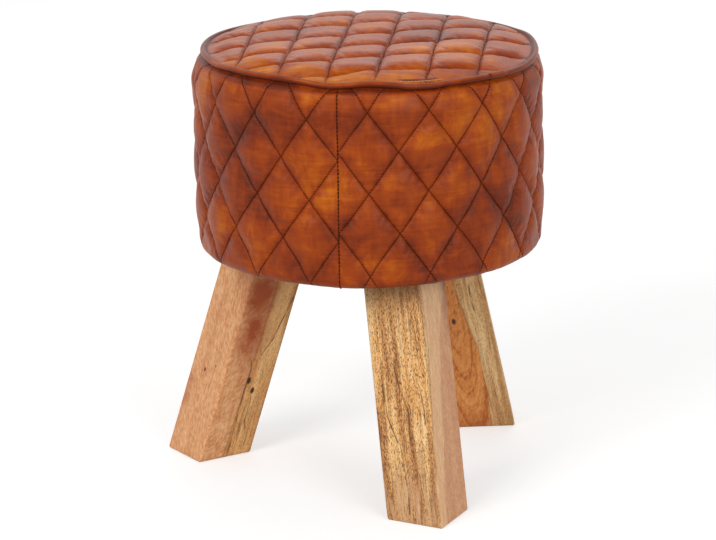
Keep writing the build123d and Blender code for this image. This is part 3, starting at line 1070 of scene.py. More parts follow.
fill_spread = 0.1  # how much fuller or flatter one diamond is than the rule
knot_depth = 0.8  # how much deeper two stitch lines draw the leather where they cross
wrinkle_depth = 0.2
swell_depth, small_swell_depth = 0.35, 0.12


def padding(a, b, where, spacing, puff, rise, groove):
    """Depth of the quilted surface below its crests, from the quilting coordinates."""
    edge_a, edge_b = edges_of(a, b)
    cell = (np.floor(a).astype(int) * 7 + np.floor(b).astype(int) * 13) % len(diamond_fill)
    full = puff * (1 + fill_spread * diamond_fill[cell]) * rise
    nearest = np.minimum(edge_a, edge_b) * spacing / 2
    knot = np.hypot(edge_a, edge_b) * spacing / 2
    drawn = groove * bell(nearest, 0, 1.3) + knot_depth * bell(knot, 0, 5.0)
    ripple = wrinkle_depth * pucker(where, 7.5) * bell(nearest, 3.6, 3.4)
    ripple += wrinkle_depth * pucker(where + 90, 3.6) * bell(nearest, 2.2, 1.8)
    uneven = swell_depth * swell(where, 34.0) + small_swell_depth * swell(where, 13.0)
    return full - puff - drawn + ripple + uneven


def band_surface(angle, level, band):
    """The band without its padding, as radius, height and directions.

    The angle is in degrees from the band's first seam, and the level is the height
    measured along the leather.
    """
    turn = np.radians(angle + band["start"])
    across, deep = along_circle(seat_radius, turn)
    where = np.stack([across, deep, level], axis=1)
    to_seam = np.minimum(angle, 180 - angle) * pi / 180 * seat_radius
    free = ease(to_seam, 0, waver_from_seam) * within(level, *waver_levels)
    turn = turn + free * line_waver * wander(where, waver_size) / seat_radius
    moved = level + free * line_waver * wander(where + 500, waver_size)
    radius = np.interp(moved, outline_level, outline_radius)
    height = np.interp(moved, outline_level, outline_height)
    out = np.interp(moved, outline_level, outline_out)
    up = np.interp(moved, outline_level, outline_up)
    direction = np.stack([out * np.cos(turn), out * np.sin(turn), up], axis=1)
    return turn, radius, height, direction, where, to_seam


def blow_band(name, band):
    """The simulated rise of one half band."""

    def ways(a, b):
        return (a + b + 1) * column_angle, band["row_height"] + (a - b) * row_pitch

    def place(a, b):
        turn, radius, height, direction, _, _ = band_surface(*ways(a, b), band)
        across, deep = along_circle(radius, turn)
        return np.stack([across, deep, height], axis=1), direction

    def lies(angle, level, seam, low, high):
        return (angle > seam) & (angle < 180 - seam) & (level > low) & (level < high)

    def is_inside(a, b):
        way = ways(a, b)
        return lies(*way, -0.01, *blown_levels), lies(*way, 0.3, *free_levels)

    return BlownLeather(name, *band_grid, place, is_inside, slack=0.022, stiffness=2.0)


# Levels over which the band's padding comes in above the hem, thins out and ends at the welt
padding_starts, padding_thins, padding_ends = (226, 262), (410, 429), (429, 433)
hem_padding, padding_lost = 0.06, 0.62
# Where the band stands out from its section: how far, then the levels as within takes them
waist_hollow = (-1.3, 300, 330, 370, 396)
shoulder_swell = (2.6, 392, 412, 422, 430)
welt_tuck = (-0.4, 425, 428, 430, 433)
left_swell = (1.4, 290, 335, 404, 426)


def stands_out(level, place):
    """How far the band stands out at a level, from one of the lines above."""
    amount, *levels = place
    return amount * within(level, *levels)


def band_points(angle, level, band):
    """Points on the quilted band, with their outward directions and quilting coordinates."""
    turn, radius, height, direction, where, to_seam = band_surface(angle, level, band)
    column = angle / column_angle
    row = (level - band["row_height"]) / row_pitch
    a = (column + row - 1) / 2
    b = (column - row - 1) / 2
    rise = band["rise"](a, b)
    proud = padding(a, b, where, side_line_spacing, side_puff, rise, 0.9)
    pinch = bell(to_seam, 0, 3.0)
    proud = proud * (1 - pinch) - side_puff * pinch
    share = hem_padding + (1 - hem_padding) * ease(level, *padding_starts)
    share = share * (1 - padding_lost * ease(level, *padding_thins))
    share = share * (1 - ease(level, *padding_ends))
    fine = hem_gather * pucker(where * (1, 1, 0.25), 9.0) * ease(level, 222, 240)
    broad = broad_hem_gather * swell(where * (1, 1, 0.2) + 70, 26.0) * ease(level, 214, 232)
    gather = (fine + broad) * fade(level, 238, 262)
    proud = proud * share + gather + stands_out(level, welt_tuck)
    lower = hem_fullness * fade(level, 262, 305) + hem_roll * bell(level, 240, 7)
    proud = proud + lower * ease(level, 222, 232)
    proud = proud + stands_out(level, waist_hollow) + stands_out(level, shoulder_swell)
    front = np.degrees(np.arctan2(np.cos(turn), -np.sin(turn)))
    droop = hem_droop + front_hem_droop * bell(front, -4, 20)
    height = height - droop * within(level, 225, 234, 242, 262)
    proud = proud + bell(front, -88, 36) * stands_out(level, left_swell)
    across, deep = along_circle(radius, turn)
    points = np.stack([across, deep, height], axis=1) + direction * proud[:, None]
    return settled(points), direction, a, b


patch_strength = 1.4
# Where the dye is lighter or darker, and on the right edge painted shade: degrees from the
# front, height, width in degrees, height of the patch, tone
side_patches = [
    (-44, 392, 20, 30, -0.20),
    (-25, 400, 24, 22, -0.10),
    (-18, 330, 14, 26, 0.13),
    (-50, 402, 8, 14, 0.14),
    (-39, 361, 9, 16, 0.16),
    (-39, 293, 10, 18, -0.12),
    (-8, 290, 16, 24, -0.16),
    (9, 322, 8, 20, -0.13),
    (17, 380, 8, 17, 0.24),
    (44, 388, 8, 16, 0.1),
    (10, 372, 14, 20, 0.03),
    (30, 392, 12, 20, 0.07),
    (27, 350, 9, 18, -0.06),
    (40, 350, 10, 20, 0.04),
    (44, 310, 10, 22, -0.14),
    # The next two are painted shade along the band's right edge.
    (58, 340, 10, 30, -0.11),
    (74, 340, 14, 70, -0.07),
    (14, 268, 24, 14, 0.08),
    (-60, 320, 14, 40, -0.06),
]


def side_tone(points):
    """Lighter and darker places of the dyed band, and painted light and shade below the welt."""
    front, high = np.degrees(np.arctan2(points[:, 0], -points[:, 1])), points[:, 2]
    total = np.zeros(len(points))
    for angle, height, wide, tall, tone in side_patches:
        across = bell(turned_by(front, angle), 0, wide)
        total += patch_strength * tone * across * bell(high, height, tall)
    # Painted light on the shoulder below the welt, and painted shade right under the welt.
    return total + 0.12 * ease(high, 408, 420) - 0.35 * ease(high, 425, 428)


# The inner side of the band, as radius and height
band_lining = [
    (flange_inner, rim_height - leather_thickness),
    (side_foam_inner, rim_height - leather_thickness),
    (lining_radius, lining_top),
    (lining_radius, 330.0),
    (lining_radius, 262.0),
    (168.4, 251.5),
    (166.4, 242.0),
    (hem_edge_centre, base_height),
    (hem_inner, base_height),
]


def make_band(name, band):
    """One half of the quilted band, from one upright seam to the other."""
    step = row_pitch / mesh_steps
    margin = 0.4  # at least, from the two edges to the next row of points
    first = int(np.ceil((outline_level[0] + margin - band["row_height"]) / step))
    last = int(np.floor((outline_level[-1] - margin - band["row_height"]) / step))
    levels = band["row_height"] + step * np.arange(first, last + 1)
    levels = np.concatenate([outline_level[:1], levels, outline_level[-1:]])
    angles = np.linspace(0, 180, quilt_columns * mesh_steps + 1)
    grid_level, grid_angle = np.meshgrid(levels, angles, indexing="ij")
    outer, _, a, b = band_points(grid_angle.ravel(), grid_level.ravel(), band)
    rows, columns = grid_level.shape
    turn = np.radians(angles + band["start"])
    inner = [
        np.stack([*along_circle(radius, turn), np.full(columns, height)], axis=1)
        for radius, height in band_lining
    ]
    points = np.concatenate([outer, settled(np.concatenate(inner))])
    edge_a, edge_b = edges_of(a.reshape(rows, columns), b.reshape(rows, columns))
    along_b = edge_b[:-1, :-1] + edge_b[1:, 1:] < edge_a[1:, :-1] + edge_a[:-1, 1:]
    faces = []
    for row in range(rows - 1):
        for column in range(columns - 1):
            low = row * columns + column
            high = low + columns
            if along_b[row, column]:
                faces += [(low, low + 1, high + 1), (low, high + 1, high)]
            else:
                faces += [(low, low + 1, high), (low + 1, high + 1, high)]
    inner_start = (rows - 1) * columns
    for face in turned_faces(len(band_lining) + 1, columns):
        faces.append(tuple(inner_start + spot for spot in face))
    last_start = inner_start + len(band_lining) * columns
    for column in range(columns - 1):
        faces.append((last_start + column, last_start + column + 1, column + 1, column))
    flat_from = len(faces)
    loop = range(0, len(points), columns)
    faces.append(tuple(loop))
    faces.append(tuple(spot + columns - 1 for spot in reversed(loop)))
    piece = make_piece(f"quilted_{name}", points, faces, side_leather, flat_from=flat_from)
    mark_quilting(piece, a, b)
    mark_points(piece, "tone", side_tone(points))
    return piece


for name, band in bands.items():
    band["rise"] = blow_band(f"blown_{name}", band)
band_pieces = {name: make_band(name, band) for name, band in bands.items()}

# The quilted top


def top_plan(a, b):
    """Plan position of a quilting coordinate on the top."""
    first, second = [radians(angle) for angle in top_line_angles]
    across = top_knot[0] + top_quilt_pitch * (a * cos(first) + b * cos(second))
    deep = top_knot[1] + top_quilt_pitch * (a * sin(first) + b * sin(second))
    return across, deep


def top_quilt(across, deep):
    """Quilting coordinates of a plan position on the top."""
    first, second = [radians(angle) for angle in top_line_angles]
    x = (across - top_knot[0]) / top_quilt_pitch
    y = (deep - top_knot[1]) / top_quilt_pitch
    wide = sin(second - first)
    return (x * sin(second) - y * cos(second)) / wide, (y * cos(first) - x * sin(first)) / wide


def top_crown(reach, deep):
    """Height of the crests of the top, and the share of the full padding there."""
    crown = seat_height - top_fall * (reach / top_rim_radius) ** top_fall_power
    flat_from = top_flat_radius - top_front_slack * ease(-deep, 60, 125)
    share = 1 - top_thinning * ease((reach - flat_from) / (top_rim_radius - flat_from), 0, 1)
    return crown - top_back_fall * ease(deep, 40, 150), share


def blow_top():
    """The simulated rise of the top."""

    def place(a, b):
        across, deep = top_plan(a, b)
        crown, _ = top_crown(np.hypot(across, deep), deep)
        upright = np.tile((0.0, 0.0, 1.0), (len(a), 1))
        return np.stack([across, deep, crown], axis=1), upright

    def is_inside(a, b):
        reach = np.hypot(*top_plan(a, b))
        return reach < top_blown_radius, reach < top_free_radius

    last = (top_side_lines, top_side_lines)
    first = (-top_side_lines, -top_side_lines)
    return BlownLeather("blown_top", first, last, place, is_inside, slack=0.03, stiffness=12.0)


def top_rise_by_rule(a, b):
    """The rise of the top's padding, by rule."""
    return plain_rise(a, b, 10.0, 3.4, 0.6)


blown_top = blow_top()


def top_rise(a, b):
    """The top is packed firmer than the band, so its pads keep flatter middles."""
    by_rule, blown = top_rise_by_rule(a, b), blown_top(a, b)
    return top_puff_by_rule * by_rule + (1 - top_puff_by_rule) * blown


def top_points(across, deep):
    """Points on the quilted top over a plan position, with quilting coordinates."""
    a, b = top_quilt(across, deep)
    where = np.stack([across, deep, np.full(len(across), 40.0)], axis=1)
    reach = np.hypot(across, deep)
    crown, share = top_crown(reach, deep)
    proud = padding(a, b, where, top_line_spacing, top_puff, top_rise(a, b), 1.0)
    free = fade(reach, *top_waver_fades)
    stretch = 1 + top_stretch * ease(reach, 150, 161.9)
    x = (across + free * top_line_waver * wander(where, top_waver_size)) * stretch
    y = (deep + free * top_line_waver * wander(where + 500, top_waver_size)) * stretch
    return np.stack([x, y, crown + proud * share], axis=1), a, b


# Where the dye is lighter or darker: across, deep, width, length, tone
top_patches = [
    (10, -156, 120, 22, 0.25),
    (-80, -124, 60, 22, 0.14),
    (-120, -60, 40, 50, 0.06),
    (60, -140, 60, 30, 0.06),
    (0, 60, 140, 80, -0.06),
    (84, 0, 42, 42, -0.17),
    (48, -20, 26, 26, -0.1),
]


def top_tone(points):
    """Lighter and darker places of the dyed top, and painted shade at its rim and slit."""
    total = np.zeros(len(points))
    for across, deep, wide, long, tone in top_patches:
        total += tone * bell(points[:, 0], across, wide) * bell(points[:, 1], deep, long)
    reach = reach_of(points)
    # Painted shade: a dark slit where the seam has opened, and a darker rim under the welt.
    slit = 0.12 * ease(reach, 158.6, 159.4) - 1.4 * bell(reach, 157.4, 1.0)
    return total - 0.1 * ease(reach, 160.5, 161.9) + seam_opening(way_of(points)) * slit


# Rings of the top's lining, from under the rim inwards, as shares of the rim's radius
top_lining_shares = (1.0, 0.975, 0.95, 0.925, 0.89, 0.85, 0.8, 0.7)


def make_top():
    """The quilted top: a puffed face, a short rim and a flat lining."""
    most = top_side_lines * top_steps
    span = np.arange(-most, most + 1) / top_steps
    grid_a, grid_b = np.meshgrid(span, span, indexing="ij")
    across, deep = top_plan(grid_a.ravel(), grid_b.ravel())
    inside = np.hypot(across, deep) < top_rim_radius - 2 * rim_step
    ring = np.linspace(0, tau, rim_points, endpoint=False)
    near_x, near_y = along_circle(top_rim_radius - rim_step, ring)
    rim_x, rim_y = along_circle(top_rim_radius, ring + tau / rim_points / 2)
    across = np.concatenate([rim_x, near_x, across[inside]])
    deep = np.concatenate([rim_y, near_y, deep[inside]])
    flat = [Vector(spot) for spot in zip(across, deep)]
    spots, faces = filled_outline(flat, loop_edges(0, rim_points))
    assert len(spots) == len(flat)
    points, a, b = top_points(spots[:, 0], spots[:, 1])
    count = len(points)
    low = []
    for share in top_lining_shares:
        ring = points[:rim_points] * share
        crown, fill = top_crown(reach_of(ring), ring[:, 1])
        under = crown - top_thickness * fill - least_top_thickness
        ring[:, 2] = np.minimum(top_lining_height, under)
        low.append(ring)
    points = np.concatenate([points, *low, [[0, 0, top_lining_height]]])
    last = count + (len(low) - 1) * rim_points
    for spot, onward in loop_edges(0, rim_points):
        faces.append((spot, count + spot, count + onward, onward))
        for start in range(count, last, rim_points):
            inner = start + rim_points
            faces.append((start + spot, inner + spot, inner + onward, start + onward))
        faces.append((len(points) - 1, last + onward, last + spot))
    piece = make_piece("quilted_top_panel", pulled(points), faces, top_leather)
    mark_quilting(piece, a, b)
    mark_points(piece, "tone", top_tone(points))
    # Hands and knees have dulled the leather along the front of the rim.
    front_rim = ease(reach_of(points), 112, 142) * ease(-points[:, 1], 30, 105)
    mark_points(piece, "matt", 0.85 * front_rim)
    return piece


top_piece = make_top()

# The welt

welt_wave = UnevenField(8)
welt_joint_angle = radians(314.3)
welt_sway, welt_rise = 0.35, 0.8  # how far it wanders sideways and upright
welt_dip = 1.1  # how far it dips where the seam of the top has opened
welt_lap = 0.24  # how much thicker it is where its ends lap, as a share
welt_unevenness = 0.05


def past_joint(angles):
    """Degrees from the joint of the welt, -180 to 180, for angles in radians."""
    return np.degrees((angles - welt_joint_angle + pi) % tau - pi)


def welt_shape(angles, radius, height):
    """Lets the welt wander a little, and thickens it where its ends lap."""
    ring = np.stack([*along_circle(welt_circle, angles), np.zeros(len(angles))], axis=1)
    sideways = welt_sway * welt_wave(ring, 45.0)
    upright = welt_rise * welt_wave(ring + 300, 38.0)
    upright = upright - welt_dip * seam_opening(np.degrees(angles) % 360)
    lap = welt_lap * within(past_joint(angles), -0.6, 0.1, 6.5, 7.5)
    grow = 1 + lap + welt_unevenness * welt_wave(ring + 600, 16.0)
    bead = ease(radius[0], welt_circle - welt_radius - 0.6, welt_circle - welt_radius + 1.2)
    off_radius = (radius - welt_circle) * (1 + (grow[:, None] - 1) * bead) + welt_circle
    off_height = (height - welt_height) * grow[:, None] + welt_height
    off_radius = off_radius + sideways[:, None] * bead
    off_height = off_height + upright[:, None] * bead
    turned = np.repeat(angles, radius.shape[1])
    x, y = along_circle(off_radius.ravel(), turned)
    ring = settled(np.stack([x, y, off_height.ravel()], axis=1))
    return reach_of(ring).reshape(radius.shape), ring[:, 2].reshape(radius.shape)


bead_end = 158  # degrees round the roll, from its outermost side to its tail
bead_turn = np.radians(np.linspace(-bead_end, bead_end, 22))
welt_outline = [
    *[(welt_circle + welt_radius * cos(t), welt_height + welt_radius * sin(t)) for t in bead_turn],
    (welt_tail_inner, welt_tail_height + welt_leather / 2),
    (welt_tail_inner, welt_tail_height - welt_leather / 2),
]
welt_piece = turned_ring("welt", welt_outline, welt_segments, welt_leather_finish, welt_shape)
# Painted light on the roll: a painted highlight along its upper side, and painted shade below it,
# on its tail and where it meets the panels.
welt_painted_light = np.interp(
    np.degrees(bead_turn),
    [-bead_end, -75, -40, 5, 40, 75, 105, bead_end],
    [-0.8, -0.75, -0.25, 0.05, 0.42, 0.15, -0.45, -0.8],
)
tail_shade = -0.4
welt_turn = np.linspace(0, tau, welt_segments, endpoint=False)
joint_line = -0.9 * bell(past_joint(welt_turn), -0.6, 0.5)
welt_tone = np.add.outer(joint_line, np.array([*welt_painted_light, tail_shade, tail_shade]))
mark_points(welt_piece, "tone", welt_tone.ravel())

cord_segments = 600
cord_turn = np.linspace(0, tau, 14, endpoint=False)
cord_outline = [
    (welt_circle + cord_radius * cos(t), welt_height + cord_radius * sin(t)) for t in cord_turn
]
cord_finish = make_plain_finish(
    "cotton_cord", colour(206, 196, 172), colour(232, 226, 208), even_noise(520.0), 0.9, bump=0.8
)
cord_piece = turned_ring("piping_core", cord_outline, cord_segments, cord_finish, welt_shape)

# The legs

leg_swell = UnevenField(9)


def leg_section():
    """Points round a square stick with rounded edges, and their outward directions."""
    half = leg_width / 2
    flat = half - leg_edge_radius
    straight = np.linspace(-flat, flat, leg_side_points)
    turn = np.radians(np.linspace(-45, 45, leg_corner_points))[1:-1]
    spots, ways = [], []
    for quarter in range(4):
        way = quarter * pi / 2
        out = np.array([cos(way), sin(way)])
        along = np.array([-sin(way), cos(way)])
        for step in straight:
            spots.append(out * half + along * step)
            ways.append(out)
        corner = (out + along) * flat
        for step in turn:
            tilt = way + pi / 4 + step
            edge = np.array([cos(tilt), sin(tilt)])
            spots.append(corner + edge * leg_edge_radius)
            ways.append(edge)
    return np.array(spots), np.array(ways)


def zone_gap(edge, u, w, s):
    """How far a spot lies past the edge of a zone of the wood, in millimetres."""
    share_u, share_w, from_w, places = edge
    along, gap = np.array(places).T
    return share_u * u + share_w * (w - from_w) + np.interp(s, along, gap)


def on_face(axis, u, w):
    """Places across a face that is square to an axis of the stick, and along that axis."""
    return (w, u) if axis == "u" else (u, w)


def crack_gap(wood, u, w, s):
    """Distance to the nearest drying crack on a spot's own face, in millimetres."""
    gap = np.full(len(u), no_crack)
    for axis, face, places in wood["cracks"]:
        over, depth = on_face(axis, u, w)
        line = np.array(places, float)
        for (a0, s0), (a1, s1) in zip(line, line[1:]):
            run_a, run_s = a1 - a0, s1 - s0
            share = ((over - a0) * run_a + (s - s0) * run_s) / (run_a**2 + run_s**2)
            share = np.clip(share, 0, 1)
            away = np.hypot(over - a0 - share * run_a, s - s0 - share * run_s)
            gap = np.where(np.abs(depth - face) < crack_face, np.minimum(gap, away), gap)
    return gap


def mark_leg(piece, wood, stick):
    """Keeps the zones, cracks, dark patches and knots of a leg for its wood."""
    u, w, s = stick.T
    mark_points(piece, "stick", stick * 0.001)
    mark_points(piece, "zone", zone_gap(wood["zone"], u, w, s))
    mark_points(piece, "second_zone", zone_gap(wood["second"], u, w, s))
    mark_points(piece, "crack", crack_gap(wood, u, w, s))
    dark_patch = np.zeros(len(s))
    for axis, face, across, along, wide, tall, share in wood["dark_patches"]:
        over, depth = on_face(axis, u, w)
        patch = share * bell(over, across, wide) * bell(s, along, tall)
        dark_patch = np.maximum(dark_patch, patch * (np.abs(depth - face) < patch_face))
    mark_points(piece, "dark_patch", dark_patch)
    knot = np.zeros(len(s))
    for across, deep, along, size in wood["knots"]:
        away = (u - across) ** 2 + (w - deep) ** 2 + ((s - along) * 0.6) ** 2
        knot = np.maximum(knot, np.exp(-away / size**2))
    mark_points(piece, "knot", knot)


def make_leg(name, angle):
    """One leg, leaning in from its foot, with its sole and its top cut level."""
    lean = radians(leg_tilt)
    way = radians(angle)
    out = np.array([cos(lean) * cos(way), cos(lean) * sin(way), sin(lean)])
    side = np.array([-sin(way), cos(way), 0.0])
    rise = np.array([-sin(lean) * cos(way), -sin(lean) * sin(way), cos(lean)])
    foot = np.array([foot_circle * cos(way), foot_circle * sin(way), 0.0])
    section, ways = leg_section()
    wood = leg_woods[name]
    bevel = np.radians([0, 22, 45, 68, 90])
    insets = list(leg_edge_radius * (1 - np.sin(bevel)))
    heights = list(leg_edge_radius * (1 - np.cos(bevel)))
    levels = np.linspace(leg_edge_radius, base_height, leg_levels)[1:]
    heights += list(levels)
    insets += [0.0] * len(levels)
    push_out, push_side = (ways[:, 0] + ways[:, 1]) / sqrt(2), (ways[:, 0] - ways[:, 1]) / sqrt(2)
    push = push_out[:, None] * out + push_side[:, None] * side
    points, sticks = [], []
    for inset, height in zip(insets, heights):
        spots = section - ways * inset
        u, w = spots[:, 0], spots[:, 1]
        p, q = (u + w) / sqrt(2), (u - w) / sqrt(2)
        s = (height - p * sin(lean)) / cos(lean)
        ring = foot + p[:, None] * out + q[:, None] * side + s[:, None] * rise
        where = np.stack([u, w, s * 0.4], axis=1) + angle
        cracked = crack_depth * bell(crack_gap(wood, u, w, s), 0, crack_width)
        uneven = leg_unevenness * leg_swell(where, 30.0) - cracked
        uneven = uneven * within(height, *leg_uneven_heights)
        ring = ring + push * uneven[:, None]
        ring[:, 2] = height
        points.append(ring)
        sticks.append(np.stack([u, w, s], axis=1))
    rows, columns = len(points), len(section)
    faces = [face[::-1] for face in turned_faces(rows, columns, closed_columns=True)]
    flat_from = len(faces)
    faces.append(tuple(range(columns)))
    faces.append(tuple(reversed(range((rows - 1) * columns, rows * columns))))
    piece = make_piece(
        f"wooden_{name}", np.concatenate(points), faces, leg_finishes[name], flat_from=flat_from
    )
    mark_leg(piece, wood, np.concatenate(sticks))
    return piece


leg_pieces = {name: make_leg(name, angle) for name, angle in leg_angles.items()}

# The stitches


def sewing_tree():
    """Sets a short thread at even steps along each line of a mesh. Its sizes are in metres."""
    tree = bpy.data.node_groups.new("row_of_stitches", "GeometryNodeTree")
    tree.interface.new_socket("Lines", in_out="INPUT", socket_type="NodeSocketGeometry")
    for name, kind, value in (
        ("Pitch", FLOAT, 0.0031),
        ("Stitch Length", FLOAT, 0.0024),
        ("Thread Radius", FLOAT, 0.00032),
        ("Sink", FLOAT, 0.0004),
        ("Seed", "NodeSocketInt", 1),
        ("Thread", "NodeSocketMaterial", None),
    ):
        made = tree.interface.new_socket(name, in_out="INPUT", socket_type=kind)
        if value is not None:
            made.default_value = value
    tree.interface.new_socket("Stitches", in_out="OUTPUT", socket_type="NodeSocketGeometry")
    wiring = Wiring(tree)
    given = wiring.add("NodeGroupInput").outputs
    curve = wiring.made("GeometryNodeMeshToCurve", {"Mesh": given["Lines"]})
    even = wiring.made(
        "GeometryNodeResampleCurve", {"Curve": curve, "Length": given["Pitch"]}, mode="LENGTH"
    )
    half = wiring.math("MULTIPLY", given["Stitch Length"], 0.5)
    down = wiring.math("MULTIPLY", given["Sink"], -1.0)
    bow = {
        "Resolution": 4,
        "Start": wiring.joined(wiring.math("MULTIPLY", half, -1.0), 0.0, down),
        "Middle": wiring.joined(0.0, 0.0, given["Thread Radius"]),
        "End": wiring.joined(half, 0.0, down),
    }
    bow = wiring.made("GeometryNodeCurveQuadraticBezier", bow)
    ring = {"Resolution": 6, "Radius": given["Thread Radius"]}
    ring = wiring.made("GeometryNodeCurvePrimitiveCircle", ring)
    thread = {"Curve": bow, "Profile Curve": ring, "Fill Caps": True}
    thread = wiring.made("GeometryNodeCurveToMesh", thread)
    tangent = wiring.made("GeometryNodeInputTangent")
    outward = wiring.made(
        "GeometryNodeInputNamedAttribute", {"Name": "outward"}, data_type="FLOAT_VECTOR"
    )
    turn = "FunctionNodeAlignRotationToVector"
    lined = wiring.made(turn, {"Vector": tangent}, axis="X")
    turned = wiring.made(turn, {"Rotation": lined, "Vector": outward}, axis="Z", pivot_axis="X")
    size = wiring.add(
        "FunctionNodeRandomValue", {2: 0.88, 3: 1.1, "Seed": given["Seed"]}, data_type="FLOAT"
    ).outputs[1]
    placed = {"Points": even, "Instance": thread, "Rotation": turned, "Scale": size}
    placed = wiring.made("GeometryNodeInstanceOnPoints", placed)
    real = wiring.made("GeometryNodeRealizeInstances", {0: placed})
    smooth = wiring.made("GeometryNodeSetShadeSmooth", {0: real})
    dressed = {"Geometry": smooth, "Material": given["Thread"]}
    dressed = wiring.made("GeometryNodeSetMaterial", dressed)
    wiring.add("NodeGroupOutput", {0: dressed})
    return tree


stitch_rows = sewing_tree()


def sew(name, lines, **sizes):
    """Threads along lines, each line given as its points and their outward directions."""
    points, outward, edges = [], [], []
    for spots, ways in lines:
        start = len(points)
        points += list(spots)
        outward += list(ways)
        edges += [(start + step, start + step + 1) for step in range(len(spots) - 1)]
    piece = new_object(f"{name}_lines", new_mesh(f"{name}_lines", points, edges, []))
    mark_points(piece, "outward", outward)
    modifier = piece.modifiers.new("sewing", "NODES")
    modifier.node_group = stitch_rows
    sockets = {
        item.name: item.identifier
        for item in stitch_rows.interface.items_tree
        if item.item_type == "SOCKET" and item.in_out == "INPUT"
    }
    for key, value in sizes.items():
        modifier[sockets[key.replace("_", " ")]] = value
    sewn = evaluated_mesh(piece)
    bpy.data.objects.remove(piece)
    sewn.name = name
    return new_object(name, sewn)


stitch_line_step = 1.5
stitch_line_rise = 0.15  # how far a thread lies above the middle of its valley
shortest_line = 4  # points
band_line_levels = (243.0, 424.0)
band_line_numbers = range(-12, 34)  # of every line that may cross a half band
seam_levels = (232.0, 428.0)
seam_rise = 0.25


def band_lines(band):
    """The slanting stitch lines of one half band."""
    lines = []
    levels = np.arange(*band_line_levels, stitch_line_step)
    rows = (levels - band["row_height"]) / row_pitch
    for slant in (-1, 1):
        for line in band_line_numbers:
            column = 2 * line + 1 + slant * rows
            angle = column * column_angle
            inside = (angle > 1.0) & (angle < 179.0)
            if inside.sum() < shortest_line:
                continue
            points, ways, _, _ = band_points(angle[inside], levels[inside], band)
            lines.append((points + ways * stitch_line_rise, ways))
    return lines


def seam_line(band, angle):
    """The upright seam at one end of a half band."""
    levels = np.arange(*seam_levels, stitch_line_step)
    points, ways, _, _ = band_points(np.full(len(levels), angle), levels, band)
    return points + ways * seam_rise, ways


def top_lines():
    """The stitch lines of the top."""
    lines = []
    span = np.arange(-top_side_lines, top_side_lines, top_line_step)
    for line in range(-top_side_lines, top_side_lines + 1):
        for a, b in ((np.full(len(span), line), span), (span, np.full(len(span), line))):
            across, deep = top_plan(a, b)
            inside = np.hypot(across, deep) < top_rim_radius - top_line_margin
            if inside.sum() < shortest_line:
                continue
            points = pulled(top_points(across[inside], deep[inside])[0])
            ways = np.tile((0.0, 0.0, 1.0), (len(points), 1))
            lines.append((points + ways * stitch_line_rise, ways))
    return lines


stitch_pieces = [
    sew(f"stitches_{name}", band_lines(band), Thread=thread_finish, Seed=band["seed"])
    for name, band in bands.items()
]
top_stitches = sew(
    "stitches_top", top_lines(), Thread=thread_finish, Seed=5, Sink=0.0007, Thread_Radius=0.00026
)
stitch_pieces.append(top_stitches)


def opened_seam_line():
    """The pale threads that show where the seam of the top has opened."""
    first, last, step = 281.0, 295.0, 0.25
    radius, crown_radius, lift = 160.9, 160.4, 0.45
    turn = np.radians(np.arange(first, last, step))
    across, deep = along_circle(radius, turn)
    crown, _ = top_crown(np.full(len(turn), crown_radius), deep)
    line = pulled(np.stack([across, deep, crown + lift], axis=1))
    return line, np.tile((0.0, -0.5, 0.86), (len(turn), 1))


gap_piece = sew(
    "stitches_welt",
    [opened_seam_line()],
    Thread=pale_thread_finish,
    Seed=9,
    Pitch=0.0034,
    Stitch_Length=0.0023,
    Thread_Radius=0.0004,
)
right_band = bands["side_panel_right"]
seam_piece = sew(
    "stitches_seams",
    [seam_line(right_band, 0.0), seam_line(right_band, 180.0)],
    Thread=thread_finish,
    Seed=7,
    Pitch=0.0038,
    Stitch_Length=0.0027,
    Thread_Radius=0.0006,
)

# The cloth under the seat


def make_cloth_finish():
    """Black bonded cloth with a fine dimpled face."""
    finish, wiring, shader = new_finish("dust_cloth")
    place = wiring.place()
    dimples = wiring.add("ShaderNodeTexVoronoi", {"Vector": place, "Scale": 620.0})
    fibres = wiring.noise(place, 260.0, 4.0, 0.7)
    wiring.dress(
        shader,
        Base_Color=wiring.blend(fibres, colour(18, 18, 19), colour(46, 45, 46)),
        Roughness=0.85,
        Normal=wiring.bump(dimples.outputs["Distance"], 0.4, 0.0004),
    )
    return finish


def leg_cut(angle):
    """Plan outline of the hole for a leg in the cloth."""
    lean = radians(leg_tilt)
    reach = (leg_width / 2 + cloth_leg_gap) * sqrt(2)
    way = radians(angle)
    centre = leg_ring + (base_height - cloth_top) * tan(lean)
    radial, side = reach / cos(lean), reach
    spots = []
    for along, across in ((radial, 0), (0, side), (-radial, 0), (0, -side)):
        x = (centre + along) * cos(way) - across * sin(way)
        y = (centre + along) * sin(way) + across * cos(way)
        spots.append((x, y))
    return spots


def in_outline(spot, outline):
    """Whether a plan position lies inside a closed outline."""
    inside = False
    x, y = spot
    for here, there in zip(outline, outline[1:] + outline[:1]):
        if (here[1] > y) != (there[1] > y):
            cut = here[0] + (y - here[1]) * (there[0] - here[0]) / (there[1] - here[1])
            if x < cut:
                inside = not inside
    return inside


def cloth_plan():
    """The cloth laid flat: points and triangles of a disc with a hole for each leg."""
    ring = np.linspace(0, tau, cloth_points, endpoint=False)
    flat = [Vector(spot) for spot in zip(*along_circle(cloth_radius, ring))]
    edges = loop_edges(0, len(flat))
    holes = []
    for angle in leg_angles.values():
        corners = leg_cut(angle)
        hole = []
        for here, there in zip(corners, corners[1:] + corners[:1]):
            for share in np.linspace(0, 1, hole_side_points, endpoint=False):
                hole.append(Vector(here).lerp(Vector(there), share))
        edges += loop_edges(len(flat), len(hole))
        flat += hole
        holes.append(hole)

    def in_hole(spot):
        return any(in_outline(spot, hole) for hole in holes)

    for spot in product(np.arange(-cloth_grid, cloth_grid + 1, cloth_step), repeat=2):
        if np.hypot(*spot) <= cloth_radius - cloth_step / 2 and not in_hole(spot):
            flat.append(Vector(spot))
    spots, faces = filled_outline(flat, edges)
    return spots, [face for face in faces if not in_hole(spots[list(face)].mean(axis=0))]


